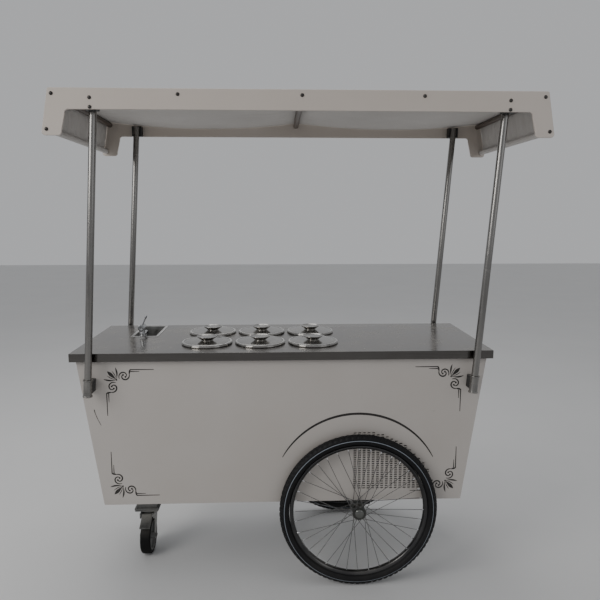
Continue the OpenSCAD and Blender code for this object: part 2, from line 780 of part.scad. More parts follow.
// One board: a long straight strip with a flared tab hanging at each end.
module board_outline() {
    low = canopy_z - tab_h;
    mid = canopy_z - board_h;
    edge = function (z) canopy_half + (canopy_z - z) * tan(flare);
    r = 14;
    right = concat(
        arc([edge(canopy_z) - 8, canopy_z - 8], 8, 90, -flare),
        arc([edge(low + r) - r, low + r], r, -flare, -90),
        arc([edge(low + r) - tab_w + r, low + r], r, -90, -180 - flare),
        arc([edge(mid) - tab_w - r, mid - r], r, -flare, 90)
    );
    left = [for (i = [len(right) - 1 : -1 : 0]) [-right[i].x, right[i].y]];
    polygon(concat(right, left));
}

module canopy_board(s) {
    y = s > 0 ? board_in : -board_in - board_t;
    color("#e6dfd2") translate([0, y, 0]) upright_plate(board_t) board_outline();
}

// Three roof tubes and the two hem rails, all between the boards.
tube_spots = [
    [0, tube_z, tube_d], [-tube_end_x, tube_z, tube_d], [tube_end_x, tube_z, tube_d],
    [-hem_x, hem_z, hem_d], [hem_x, hem_z, hem_d]
];
module canopy_tubes() {
    color("#6f5f55") for (t = tube_spots) translate([t[0], -board_in, t[1]]) rotate([-90, 0, 0])
        difference() {
        cylinder(h = 2 * board_in, r = t[2] / 2);
        translate([0, 0, -1]) cylinder(h = 2 * board_in + 2, r = t[2] / 2 - pole_wall);
    }
}

module canopy_screws() {
    spots = concat(
        [for (t = tube_spots) [t[0], t[1]]],
        [for (s = [-1, 1]) for (dz = [-block_h / 2 + 9, block_h / 2 - 4])
            [s * pole_x + pole_shift - canopy_shift, block_z + dz]],
        [for (s = [-1, 1]) [s * tube_end_x / 2, tube_z]]
    );
    color("#3a3b3d") for (p = spots) for (s = [-1, 1])
        translate([p[0], s * (board_in + board_t), p[1]]) rotate([-90 * s, 0, 0])
            rotate_extrude() intersection() {
            scale([1, 0.6, 1]) circle(r = 7, $fn = 32);
            square([8, 8]);
        }
}

// Roof and end flaps in one: over the tubes, sagging between them, down to the hem rails.
module canopy_fabric() {
    steps = 16;
    top = tube_z + tube_d / 2 + 0.5;
    r = tube_d / 2 + 0.5;
    rh = hem_d / 2 + 0.5;
    sag = function (u) 4 * fabric_sag * u * (1 - u);
    half = function (t) concat(
        [for (i = [0 : steps]) [tube_end_x * i / steps, top + t - sag(i / steps)]],
        arc([tube_end_x, tube_z], r + t, 80, flare, 6),
        arc([hem_x, hem_z], rh + t, flare, -50, 6)
    );
    outer = half(fabric_t);
    inner = half(0);
    n = len(outer);
    color("#ece9e4") translate([0, -board_in + 2, 0]) upright_plate(2 * board_in - 4)
        polygon(concat(
            outer, [for (i = [n - 1 : -1 : 0]) inner[i]],
            [for (i = [1 : n - 1]) [-inner[i].x, inner[i].y]],
            [for (i = [n - 1 : -1 : 1]) [-outer[i].x, outer[i].y]]
        ));
}

// A wheel's own frame: axis along Z, outer side up, centre of the rim at the origin.
module at_wheel(s) {
    on_cart() translate([axle_x, s * wheel_y, axle_z]) rotate([-90 * s, 0, 0]) children();
}

rim_depth = 16;
rim_wall = 2.5;
module tyre(s) {
    mid = wheel_d / 2 - tyre_w / 2;
    lip = rim_d / 2;
    bead = rim_w / 2 - rim_wall - 0.3;
    color("#161617") at_wheel(s) rotate_extrude($fn = 160) translate([mid, 0]) difference() {
        circle(r = tyre_w / 2, $fn = 48);
        circle(r = tyre_w / 2 - 4, $fn = 48);
        translate([-tyre_w, -7]) square([tyre_w * 0.7, 14]);
        for (m = [0, 1]) mirror([0, m]) translate([-tyre_w, bead]) square([lip + 0.3 - mid + tyre_w,
            tyre_w]);
    }
}

module rim(s) {
    color("#cfd2d5") at_wheel(s) rotate_extrude($fn = 160) translate([rim_d / 2 - rim_depth, 0])
        difference() {
        translate([0, -rim_w / 2]) square([rim_depth, rim_w]);
        translate([4, -rim_w / 2 + rim_wall]) square([rim_depth, rim_w - 2 * rim_wall]);
    }
}

flange_y = hub_w / 2 - 2;
// Crossed lacing: leading spokes run over the flange's outer face, trailing ones inside it,
// so that each is a separate wire and none touches another where they cross.
module spokes(s) {
    lace = 52;
    r_rim = rim_d / 2 - rim_depth + 1.5;
    r_hub = hub_flange_d / 2 - 4;
    over = spoke_d + 0.1;
    color("#c4c7ca") at_wheel(s) for (i = [0 : spoke_n - 1]) {
        a = i * 360 / spoke_n;
        side = i % 2 == 0 ? 1 : -1;
        leading = floor(i / 2) % 2 == 0;
        b = a + (leading ? lace : -lace);
        z_rim = 2 + (leading ? 1.5 * spoke_d : 0);
        z_hub = flange_y + (leading ? over : -over);
        rod([r_rim * cos(a), r_rim * sin(a), side * z_rim],
            [r_hub * cos(b), r_hub * sin(b), side * z_hub], spoke_d / 2);
    }
}

module hub(s) {
    color("#aeb1b4") at_wheel(s) difference() {
        rotate_extrude() polygon([
            [0, -hub_w / 2], [12, -hub_w / 2], [14, -flange_y - 1.8], [hub_flange_d / 2, -flange_y - 1.5],
            [hub_flange_d / 2, -flange_y + 1.5], [18, -flange_y + 4], [16, 0], [18, flange_y - 4],
            [hub_flange_d / 2, flange_y - 1.5], [hub_flange_d / 2, flange_y + 1.5], [14, flange_y + 1.8],
            [12, hub_w / 2], [0, hub_w / 2]
        ]);
        translate([0, 0, -hub_w]) cylinder(h = 2 * hub_w, r = axle_d / 2 + pin_fit);
    }
}

// The caster's own frame: swivel axis at x = y = 0, wheel trailing towards -Y.
module at_caster() {
    on_cart() translate([caster_x, 0, 0]) children();
}

fork_gap = caster_w / 2 + 4;
head_z = caster_h - 24;
pedal_y = -50;
pedal_z = head_z - 2;
module caster_plate() {
    color("#a3a6a9") at_caster() difference() {
        union() {
            span([-52.5, -57.5, caster_h - 5], [52.5, 57.5, caster_h]);
            translate([0, 0, head_z + 8]) cylinder(h = caster_h - 5 - head_z - 8, r = 34);
            translate([0, 0, head_z - 8]) cylinder(h = 20, r = 8);
            translate([0, 0, head_z - 16]) cylinder(h = 8, r = 13);
        }
        for (x = [-1, 1]) for (y = [-1, 1]) translate([x * 44, y * 49.5, caster_h - 6])
            cylinder(h = 7, r = 3.5);
    }
}

module caster_fork() {
    leg_t = 4;
    color("#b3b6b9") at_caster() {
        difference() {
            translate([0, 0, head_z - 8 + face_gap]) cylinder(h = 16 - 2 * face_gap, r = 36);
            translate([0, 0, head_z - 12]) cylinder(h = 24, r = 8 + pin_fit);
        }
        for (s = [-1, 1]) translate([s > 0 ? fork_gap : -fork_gap - leg_t, 0, 0]) rotate([90, 0, 90])
            linear_extrude(height = leg_t) polygon([
                [-caster_trail - 16, caster_axle_z - 6], [-caster_trail - 6, caster_axle_z - 16],
                [-caster_trail + 6, caster_axle_z - 16], [-caster_trail + 16, caster_axle_z - 6],
                [26, head_z - 8], [26, head_z + 8 - face_gap], [pedal_y - 10, head_z + 8 - face_gap],
                [pedal_y - 10, head_z - 14], [-30, head_z - 24]
            ]);
        translate([-fork_gap - leg_t, pedal_y, pedal_z]) rotate([0, 90, 0])
            cylinder(h = 2 * (fork_gap + leg_t), r = 3);
        translate([-fork_gap - leg_t - 7, -caster_trail, caster_axle_z]) rotate([0, 90, 0]) {
            translate([0, 0, 7]) cylinder(h = 2 * (fork_gap + leg_t), r = 6);
            cylinder(h = 7, r = 10, $fn = 6);
            translate([0, 0, 7 + 2 * (fork_gap + leg_t)]) cylinder(h = 7, r = 10, $fn = 6);
        }
    }
}

module caster_wheel() {
    color("#6c6f73") at_caster() translate([0, -caster_trail, caster_axle_z]) rotate([0, 90, 0])
        rotate_extrude() polygon([
            [6 + pin_fit, -fork_gap + face_gap], [17, -fork_gap + face_gap], [17, -9],
                [caster_d / 2 - 20, -9],
            [caster_d / 2 - 20, -caster_w / 2 + 2], [caster_d / 2 - 16, -caster_w / 2 + 2],
            [caster_d / 2 - 16, caster_w / 2 - 2], [caster_d / 2 - 20, caster_w / 2 - 2],
            [caster_d / 2 - 20, 9], [17, 9], [17, fork_gap - face_gap], [6 + pin_fit, fork_gap - face_gap]
        ]);
}

module caster_tread() {
    c = 6;
    color("#1b1b1d") at_caster() translate([0, -caster_trail, caster_axle_z]) rotate([0, 90, 0])
        rotate_extrude($fn = 96) polygon([
            [caster_d / 2 - 16, -caster_w / 2 + 2], [caster_d / 2 - c, -caster_w / 2],
                [caster_d / 2, -caster_w / 2 + c],
            [caster_d / 2, caster_w / 2 - c], [caster_d / 2 - c, caster_w / 2],
                [caster_d / 2 - 16, caster_w / 2 - 2]
        ]);
}

module brake_pedal() {
    w = 2 * fork_gap - 10;
    color("#b3b6b9") at_caster() difference() {
        union() {
            translate([-w / 2, 0, 0]) rotate([90, 0, 90]) linear_extrude(height = w) polygon([
                [pedal_y - 5, pedal_z + 6], [pedal_y + 5, pedal_z + 6], [pedal_y + 5, pedal_z - 4],
                [pedal_y - 24, pedal_z - 18], [pedal_y - 62, pedal_z - 34], [pedal_y - 64, pedal_z - 30],
                [pedal_y - 26, pedal_z - 13]
            ]);
            translate([-w / 2, pedal_y, pedal_z]) rotate([0, 90, 0]) cylinder(h = w, r = 6);
        }
        translate([-w, pedal_y, pedal_z]) rotate([0, 90, 0]) cylinder(h = 2 * w, r = 3 + pin_fit);
    }
}

chassis_frame();
axle_beam();
axle_caps();
body_floor();
front_panel();
rear_panel();
end_panel(-1);  // end_panel_left
end_panel(1);  // end_panel_right
cold_tank();
worktop();
dipper_well();
door(1, hinge_l);  // door_left
door(-1, hinge_right);  // door_right
door_hinges();
power_inlet();
control_panel();
compressor();
condenser();
fan_housing();
fan_rotor();
refrigerant_pipes();
water_tanks();
water_pump();
tap_body();
tap_spout();
tap_lever();
pan(0);  // pan_1
pan(1);  // pan_2
pan(2);  // pan_3
pan(3);  // pan_4
pan(4);  // pan_5
pan(5);  // pan_6
lid(0);  // lid_1
lid(1);  // lid_2
lid(2);  // lid_3
lid(3);  // lid_4
lid(4);  // lid_5
lid(5);  // lid_6
pole_sockets();
socket_blocks();
canopy_poles();
canopy_blocks();
canopy_board(-1);  // canopy_front_board
canopy_board(1);  // canopy_rear_board
canopy_tubes();
canopy_screws();
canopy_fabric();
tyre(-1);  // tyre_front
rim(-1);  // rim_front
spokes(-1);  // spokes_front
hub(-1);  // hub_front
tyre(1);  // tyre_rear
rim(1);  // rim_rear
spokes(1);  // spokes_rear
hub(1);  // hub_rear
caster_plate();
caster_fork();
caster_wheel();
caster_tread();
brake_pedal();
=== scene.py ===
# %% The shared frame
import json
from math import cos, pi, radians, sin, tan

import bmesh
import bpy
import numpy as np
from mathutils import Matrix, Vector


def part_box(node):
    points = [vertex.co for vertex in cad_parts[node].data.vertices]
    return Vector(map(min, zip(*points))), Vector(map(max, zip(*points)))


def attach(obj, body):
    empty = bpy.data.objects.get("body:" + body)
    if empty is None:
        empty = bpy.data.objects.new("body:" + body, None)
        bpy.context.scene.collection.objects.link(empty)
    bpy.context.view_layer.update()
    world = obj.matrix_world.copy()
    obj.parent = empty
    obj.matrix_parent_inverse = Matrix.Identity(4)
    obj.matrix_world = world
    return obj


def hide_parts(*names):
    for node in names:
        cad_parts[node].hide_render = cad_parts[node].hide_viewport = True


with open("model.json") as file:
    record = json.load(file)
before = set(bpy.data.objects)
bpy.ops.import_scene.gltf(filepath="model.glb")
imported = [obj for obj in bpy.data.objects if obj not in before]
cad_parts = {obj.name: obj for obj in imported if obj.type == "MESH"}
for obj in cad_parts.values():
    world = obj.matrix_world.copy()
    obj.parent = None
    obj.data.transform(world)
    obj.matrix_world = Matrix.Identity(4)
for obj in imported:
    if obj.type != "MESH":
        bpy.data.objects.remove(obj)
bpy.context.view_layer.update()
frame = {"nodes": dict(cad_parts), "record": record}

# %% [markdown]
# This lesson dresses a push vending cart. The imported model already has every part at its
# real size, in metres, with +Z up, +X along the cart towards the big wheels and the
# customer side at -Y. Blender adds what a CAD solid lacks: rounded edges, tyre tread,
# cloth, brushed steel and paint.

NODES = frame["nodes"]


def corners(node):
    """The lowest and highest corner of a part, as two arrays."""
    low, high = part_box(node)
    return np.array(low), np.array(high)


def middle(node):
    """The centre of a part's box."""
    low, high = corners(node)
    return (low + high) / 2


# %% [markdown]
# The stage is a plain pale floor under soft lamps. The camera stands about two and a half
# metres in front of the cart, at the eye height of a customer, and looks slightly down.
# A lens near 35 mm on a full frame gives the gentle perspective of a showroom view.

# %% Camera, floor and lamps
LENS_MM = 34.7
EYE = (-0.0930, -2.568, 1.551)
YAW, PITCH = radians(2.21), radians(8.31)

eye_data = bpy.data.cameras.new("customer_eye")
eye_data.lens, eye_data.sensor_width = LENS_MM, 36
eye = bpy.data.objects.new("customer_eye", eye_data)
eye.location = EYE
eye.rotation_euler = (pi / 2 - PITCH, 0, -YAW)
bpy.context.scene.collection.objects.link(eye)
bpy.context.scene.camera = eye


def soft_lamp(name, place, aim, size, watts, tint=(1, 1, 1)):
    """A square area lamp at place, turned so that its face looks at aim."""
    data = bpy.data.lights.new(name, "AREA")
    data.shape, data.size, data.energy, data.color = "SQUARE", size, watts, tint
    lamp = bpy.data.objects.new(name, data)
    lamp.location = place
    lamp.rotation_euler = (Vector(aim) - Vector(place)).to_track_quat("-Z", "Y").to_euler()
    bpy.context.scene.collection.objects.link(lamp)
    return lamp


soft_lamp("key_lamp", (-3.6, -2.8, 3.2), (0, 0, 1.0), 2.4, 84, (1.0, 0.985, 0.96))
soft_lamp("fill_lamp", (3.2, -3.0, 2.4), (0, 0, 0.8), 2.2, 9, (0.95, 0.97, 1.0))
soft_lamp("top_lamp", (-0.3, 0.6, 4.6), (0, 0, 1.0), 2.8, 44)
soft_lamp("back_lamp", (-0.8, 3.2, 4.4), (0, 0, 1.2), 1.8, 20)

world = bpy.data.worlds.new("studio_air")
world.use_nodes = True
world.node_tree.nodes["Background"].inputs["Color"].default_value = (0.80, 0.81, 0.83, 1)
world.node_tree.nodes["Background"].inputs["Strength"].default_value = 0.57
bpy.context.scene.world = world

# %% [markdown]
# Materials are graphs of nodes. Two small helpers keep the graphs short: one adds a node,
# the other feeds a socket with either a number or the output of another node. Patterns
# that several finishes share are built once, as node groups with named sockets, and each
# finish places them with its own values. A group only puts out masks, heights and
# colours; the shader itself stays in the material.

# %% Node helpers
def add(tree, kind, **facts):
    """Adds a node. A fact names a setting, and sockets= gives socket values or links."""
    made = tree.nodes.new(kind)
    for socket, value in facts.pop("sockets", {}).items():
        feed(tree, made, socket, value)
    for name, value in facts.items():
        setattr(made, name, value)
    return made


def feed(tree, made, socket, value):
    """Links an output to a socket, or sets the socket's own number."""
    target = made.inputs[socket]
    if isinstance(value, bpy.types.NodeSocket):
        tree.links.new(value, target)
    else:
        target.default_value = value


def maths(tree, operation, *values):
    """One Math node, and its output."""
    made = add(tree, "ShaderNodeMath", operation=operation)
    for i, value in enumerate(values):
        feed(tree, made, i, value)
    return made.outputs[0]


def blended(tree, share, first, second):
    """A colour between first and second, by share."""
    made = add(tree, "ShaderNodeMix", data_type="RGBA")
    for i, value in ((0, share), (6, first), (7, second)):
        feed(tree, made, i, value)
    return made.outputs[2]


def stepped(tree, value, low, high, to_low=0.0, to_high=1.0):
    """A Map Range node: low..high becomes to_low..to_high, held at both ends."""
    made = add(tree, "ShaderNodeMapRange")
    for i, number in enumerate((value, low, high, to_low, to_high)):
        feed(tree, made, i, number)
    return made.outputs[0]


def noise(tree, vector, scale, detail=3.0, roughness=0.55):
    """The grey output of a Noise node."""
    made = add(tree, "ShaderNodeTexNoise")
    feed(tree, made, "Vector", vector)
    feed(tree, made, "Scale", scale)
    feed(tree, made, "Detail", detail)
    feed(tree, made, "Roughness", roughness)
    return made.outputs[0]


def group_with(name, takes, gives):
    """An empty node group with named inputs and outputs."""
    group = bpy.data.node_groups.new(name, "ShaderNodeTree")
    for label, kind, value in takes:
        socket = group.interface.new_socket(label, in_out="INPUT", socket_type=kind)
        if value is not None:
            socket.default_value = value
    for label in gives:
        group.interface.new_socket(label, in_out="OUTPUT", socket_type="NodeSocketFloat")
    return group, group.nodes.new("NodeGroupInput").outputs, group.nodes.new("NodeGroupOutput")


NUMBER, VECTOR = "NodeSocketFloat", "NodeSocketVector"

# %% [markdown]
# Brushed steel gets its look from scratches that all run one way. A noise pattern that
# is squeezed across the brushing and stretched along it gives thousands of fine lines.
# Every steel part of the cart uses this group; only the direction and fineness change.

# %% Group: brushed lines
lines_group, given, out = group_with(
    "brushed_lines",
    [("Vector", VECTOR, None), ("Stretch", VECTOR, (1, 60, 60)), ("Fineness", NUMBER, 14.0)],
    ["Height", "Streak"],
)
stretched = add(lines_group, "ShaderNodeVectorMath", operation="MULTIPLY").outputs[0]
feed(lines_group, stretched.node, 0, given["Vector"])
feed(lines_group, stretched.node, 1, given["Stretch"])
fine = noise(lines_group, stretched, given["Fineness"], 4.0, 0.7)
broad = noise(lines_group, stretched, maths(lines_group, "MULTIPLY", given["Fineness"], 0.17), 2.0)
lines_group.links.new(fine, out.inputs["Height"])
lines_group.links.new(stepped(lines_group, broad, 0.32, 0.68), out.inputs["Streak"])
print("group", lines_group.name)

# %% [markdown]
# A surface that people wipe and lean on is never evenly glossy. This group gives soft
# patches where a cloth left a film, and smaller blots where fingers rested.

# %% Group: handled smudges
smudge_group, given, out = group_with(
    "handled_smudges",
    [("Vector", VECTOR, None), ("Patch", NUMBER, 5.0), ("Blot", NUMBER, 34.0)],
    ["Mask"],
)
patch = stepped(smudge_group, noise(smudge_group, given["Vector"], given["Patch"], 4.0), 0.40, 0.66)
blot = stepped(smudge_group, noise(smudge_group, given["Vector"], given["Blot"], 2.0), 0.56, 0.70)
both = maths(smudge_group, "MAXIMUM", maths(smudge_group, "MULTIPLY", patch, 0.7), blot)
smudge_group.links.new(maths(smudge_group, "MULTIPLY", both, maths(
    smudge_group, "ADD", maths(smudge_group, "MULTIPLY", patch, 0.6), 0.4)), out.inputs["Mask"])
print("group", smudge_group.name)

# %% [markdown]
# Dust settles on what faces up, and road dirt climbs from the ground. The group reads the
# surface's own direction and its height above the floor, and breaks both up with noise.

# %% Group: settled dust
dust_group, given, out = group_with(
    "settled_dust",
    [("Vector", VECTOR, None), ("Facing", VECTOR, None), ("Floor dirt", NUMBER, 0.5)],
    ["Mask"],
)
facing_up = add(dust_group, "ShaderNodeSeparateXYZ", sockets={0: given["Facing"]}).outputs[2]
height = add(dust_group, "ShaderNodeSeparateXYZ", sockets={0: given["Vector"]}).outputs[2]
cloudy = noise(dust_group, given["Vector"], 9.0, 6.0, 0.62)
on_top = maths(dust_group, "MULTIPLY", stepped(dust_group, facing_up, 0.3, 1.0), 0.45)
near_floor = stepped(dust_group, height, 0.62, 0.05)
low_down = maths(dust_group, "MULTIPLY", near_floor, given["Floor dirt"])
dust_group.links.new(maths(
    dust_group, "MULTIPLY", maths(dust_group, "ADD", on_top, low_down),
    stepped(dust_group, cloudy, 0.36, 0.72)), out.inputs["Mask"])
print("group", dust_group.name)

# %% [markdown]
# Sprayed paint has a faint orange peel, cloudy thickness, and small scuffs that run down
# to a darker coat. Moulded plastic and rubber share the same fine pebble, at other sizes.

# %% Group: sprayed skin
skin_group, given, out = group_with(
    "sprayed_skin",
    [("Vector", VECTOR, None), ("Peel", NUMBER, 420.0), ("Scuff", NUMBER, 0.5)],
    ["Height", "Cloud", "Scuffed"],
)
skin_group.links.new(noise(skin_group, given["Vector"], given["Peel"], 2.0), out.inputs["Height"])
skin_group.links.new(
    stepped(skin_group, noise(skin_group, given["Vector"], 2.2, 5.0, 0.6), 0.3, 0.7),
    out.inputs["Cloud"])
scratchy = add(skin_group, "ShaderNodeVectorMath", operation="MULTIPLY")
feed(skin_group, scratchy, 0, given["Vector"])
feed(skin_group, scratchy, 1, (5.0, 14.0, 26.0))
marks = noise(skin_group, scratchy.outputs[0], 3.4, 7.0, 0.68)
skin_group.links.new(maths(
    skin_group, "MULTIPLY", stepped(skin_group, marks, 0.69, 0.75), given["Scuff"]),
    out.inputs["Scuffed"])
print("group", skin_group.name)

# %% [markdown]
# Awning cloth is woven. Its UV map is laid out in metres, so two sets of waves give the
# warp and the weft at their true pitch, and their product is the basket of the weave.

# %% Group: woven threads
weave_group, given, out = group_with(
    "woven_threads",
    [("Vector", VECTOR, None), ("Threads per metre", NUMBER, 900.0)],
    ["Height", "Slub"],
)
split = add(weave_group, "ShaderNodeSeparateXYZ", sockets={0: given["Vector"]})
turns = maths(weave_group, "MULTIPLY", given["Threads per metre"], 2 * pi)
warp = maths(weave_group, "SINE", maths(weave_group, "MULTIPLY", split.outputs[0], turns))
weft = maths(weave_group, "SINE", maths(weave_group, "MULTIPLY", split.outputs[1], turns))
weave_group.links.new(maths(weave_group, "MULTIPLY", warp, weft), out.inputs["Height"])
slubby = add(weave_group, "ShaderNodeVectorMath", operation="MULTIPLY")
feed(weave_group, slubby, 0, given["Vector"])
feed(weave_group, slubby, 1, (4.0, 90.0, 1.0))
weave_group.links.new(noise(weave_group, slubby.outputs[0], 6.0, 3.0), out.inputs["Slub"])
print("group", weave_group.name)

# %% [markdown]
# A finish starts as a material with one Principled shader. `Finish` holds what every
# recipe needs: the tree, the shader, and the coordinates and direction of the surface in
# the piece's own space, which stay put when the piece moves.

# %% The base of every finish
class Finish:
    """A material with a Principled shader, and the sockets its patterns start from."""

    def __init__(self, name):
        self.material = bpy.data.materials.new(name)
        self.material.use_nodes = True
        self.tree = self.material.node_tree
        self.shader = self.tree.nodes["Principled BSDF"]
        place = self.tree.nodes.new("ShaderNodeTexCoord")
        self.here, self.facing, self.uv = (place.outputs[k] for k in ("Object", "Normal", "UV"))

    def set(self, **values):
        """Sets or links the shader's sockets; an underscore in a name is a space."""
        for name, value in values.items():
            feed(self.tree, self.shader, name.replace("_", " "), value)

    def pattern(self, group, **values):
        """Places a node group, fed with the surface's place unless told otherwise."""
        made = add(self.tree, "ShaderNodeGroup", node_tree=group)
        values.setdefault("Vector", self.here)
        for name, value in values.items():
            feed(self.tree, made, name.replace("_", " "), value)
        return made.outputs

    def bump(self, height, depth, strength=1.0, under=None):
        """Turns a height into a normal; depth is in metres."""
        made = add(self.tree, "ShaderNodeBump", sockets={
            "Height": height, "Distance": depth, "Strength": strength})
        if under is not None:
            feed(self.tree, made, "Normal", under)
        return made.outputs[0]


def rgb(r, g, b):
    """An opaque colour."""
    return (r, g, b, 1.0)


DUST = rgb(0.46, 0.43, 0.38)

# %% [markdown]
# Steel recipe: brushed lines drive both a shallow bump and the gloss, smudges dull it in
# patches, and dust takes away some of the metal near the ground. A mirror finish is the
# same recipe with finer lines and less of everything.

# %% Steel
def steel(name, colour, gloss, stretch, fineness=14.0, depth=0.00006, smudge=0.12, dirt=0.3,
          painted_front_shade=0.0):
    """Brushed or polished steel; stretch is small along the brushing and large across.
    painted_front_shade darkens what faces the customer towards near black: a painted reflection of a
    dark floor in the bent front edge."""
    f = Finish(name)
    lines = f.pattern(lines_group, Stretch=stretch, Fineness=fineness)
    film = f.pattern(smudge_group)["Mask"]
    dust = f.pattern(dust_group, Facing=f.facing, Floor_dirt=dirt)["Mask"]
    darker = tuple(c * 0.84 for c in colour[:3]) + (1,)
    tone = blended(f.tree, lines["Streak"], darker, colour)
    tone = blended(f.tree, maths(f.tree, "MULTIPLY", film, 0.16), tone, rgb(0.42, 0.41, 0.39))
    # Painted shade: faces turned towards -Y go towards near black, standing for a dark floor reflected
    # in the front edge.
    if painted_front_shade:
        towards = add(f.tree, "ShaderNodeSeparateXYZ", sockets={0: f.facing}).outputs[1]
        share = stepped(f.tree, towards, -0.55, -0.95, 0, painted_front_shade)
        tone = blended(f.tree, share, tone, rgb(0.02, 0.018, 0.017))
    rough = maths(f.tree, "ADD", gloss, maths(f.tree, "MULTIPLY", lines["Streak"], gloss * 0.35))
    rough = maths(f.tree, "ADD", rough, maths(f.tree, "MULTIPLY", film, smudge))
    f.set(
        Base_Color=blended(f.tree, maths(f.tree, "MULTIPLY", dust, 0.7), tone, DUST),
        Roughness=maths(f.tree, "ADD", rough, maths(f.tree, "MULTIPLY", dust, 0.3)),
        Metallic=maths(f.tree, "SUBTRACT", 1.0, maths(f.tree, "MULTIPLY", dust, 0.7)),
        Normal=f.bump(lines["Height"], depth),
    )
    return f.material


LENGTHWISE, UPRIGHT, ROUND = (1.2, 55, 55), (55, 55, 1.2), (30, 30, 30)
# The worktop gets painted shade on its customer-facing faces, a dark reflection painted into its
# colour.
brushed_top = steel("worktop_steel", rgb(0.235, 0.222, 0.211), 0.14, LENGTHWISE, 26,
                    0.000012, 0.05, 0.0, painted_front_shade=0.45)
satin_pole = steel("pole_steel", rgb(0.26, 0.252, 0.242), 0.20, UPRIGHT, 11, 0.00006, 0.10)
polished_lid = steel("lid_steel", rgb(0.36, 0.35, 0.335), 0.07, ROUND, 3, 0.00001, 0.06, 0.0)
deep_drawn = steel("pan_steel", rgb(0.60, 0.60, 0.59), 0.26, ROUND, 5, 0.00004)
spoke_wire = steel("spoke_steel", rgb(0.17, 0.17, 0.17), 0.17, ROUND, 9, 0.00001, 0.08, 0.25)
screw_dark = steel("screw_steel", rgb(0.055, 0.052, 0.050), 0.30, ROUND, 12, 0.00003)
bright_chrome = steel("chrome", rgb(0.42, 0.43, 0.44), 0.04, ROUND, 2, 0.00001, 0.05, 0.0)
rim_chrome = steel("rim_chrome", rgb(0.055, 0.055, 0.057), 0.08, ROUND, 3, 0.00001, 0.12, 0.04)
cap_chrome = steel("cap_chrome", rgb(0.17, 0.175, 0.165), 0.07, ROUND, 3, 0.00001, 0.08, 0.1)
nickel = steel("nipple_nickel", rgb(0.92, 0.93, 0.95), 0.16, ROUND, 3, 0.00001, 0.05, 0.0)
hub_alloy = steel("hub_metal", rgb(0.07, 0.072, 0.068), 0.26, (55, 1.2, 55), 12, 0.00004, dirt=0.12)
print("steels ready")

# %% [markdown]
# Zinc plating and galvanised sheet are metals with a crystal pattern, called spangle. A
# Voronoi texture gives each crystal its own tone, and the plating is duller than chrome.

# %% Spangled zinc and cast fins
def spangled(name, colour, crystal, gloss):
    """Galvanised metal: crystal is how many grains fit in a metre."""
    f = Finish(name)
    grains = add(f.tree, "ShaderNodeTexVoronoi", sockets={"Vector": f.here, "Scale": crystal})
    tone = add(f.tree, "ShaderNodeSeparateXYZ", sockets={0: grains.outputs["Color"]}).outputs[0]
    dust = f.pattern(dust_group, Facing=f.facing, Floor_dirt=0.55)["Mask"]
    dull = tuple(c * 0.72 for c in colour[:3]) + (1,)
    f.set(
        Base_Color=blended(f.tree, maths(f.tree, "MULTIPLY", dust, 0.8),
                           blended(f.tree, tone, dull, colour), DUST),
        Roughness=maths(f.tree, "ADD", stepped(f.tree, tone, 0, 1, gloss, gloss + 0.16),
                        maths(f.tree, "MULTIPLY", dust, 0.3)),
        Metallic=maths(f.tree, "SUBTRACT", 0.96, maths(f.tree, "MULTIPLY", dust, 0.7)),
        Normal=f.bump(noise(f.tree, f.here, crystal * 2.3), 0.00005),
    )
    return f.material


zinc = spangled("caster_zinc", rgb(0.19, 0.195, 0.195), 260, 0.26)
galvanised = spangled("floor_sheet", rgb(0.52, 0.53, 0.54), 90, 0.34)
# The fins are near black: partly a dark coil, and partly painted shade standing for the shadow inside
# the body behind the vent slots.
fins = spangled("fin_aluminium", rgb(0.060, 0.060, 0.060), 420, 0.30)
copper = steel("copper", rgb(0.62, 0.30, 0.17), 0.28, ROUND, 8, 0.00003)
print("plated metals ready")

# %% [markdown]
# Paint is a dielectric colour under a thin clear gloss. The cream coat of the body is
# slightly cloudy, shows the orange peel of a spray gun, collects dirt low down, and is
# scuffed through to the primer in a few short marks. The same recipe, darker and
# duller, coats the chassis, the compressor, the painted ornament and the bronze tubes of
# the canopy.

# %% Paint
AGE = 0.06


def sprayed(name, colour, gloss, coat=0.25, peel=420.0, scuff=0.4, dirt=0.35, under=None):
    """A sprayed coat over a primer called under, half as bright if none is given."""
    f = Finish(name)
    skin = f.pattern(skin_group, Peel=peel, Scuff=scuff)
    film = f.pattern(smudge_group)["Mask"]
    dust = f.pattern(dust_group, Facing=f.facing, Floor_dirt=dirt)["Mask"]
    yellowed = (1 - AGE, 1 - 1.15 * AGE, 1 - 1.5 * AGE)
    aged = tuple(c * k for c, k in zip(colour[:3], yellowed)) + (1,)
    primer = under or tuple(c * 0.5 for c in colour[:3]) + (1,)
    tone = blended(f.tree, skin["Cloud"], aged, colour)
    tone = blended(f.tree, maths(f.tree, "MULTIPLY", dust, 0.55), tone, DUST)
    tone = blended(f.tree, skin["Scuffed"], tone, primer)
    rough = maths(f.tree, "ADD", gloss, maths(f.tree, "MULTIPLY", film, 0.10))
    f.set(
        Base_Color=tone,
        Roughness=maths(f.tree, "ADD", rough, maths(f.tree, "MULTIPLY", dust, 0.35)),
        Coat_Weight=coat, Coat_Roughness=0.08,
        Normal=f.bump(skin["Scuffed"], 0.0001, 0.6, f.bump(skin["Height"], 0.00002)),
    )
    return f.material


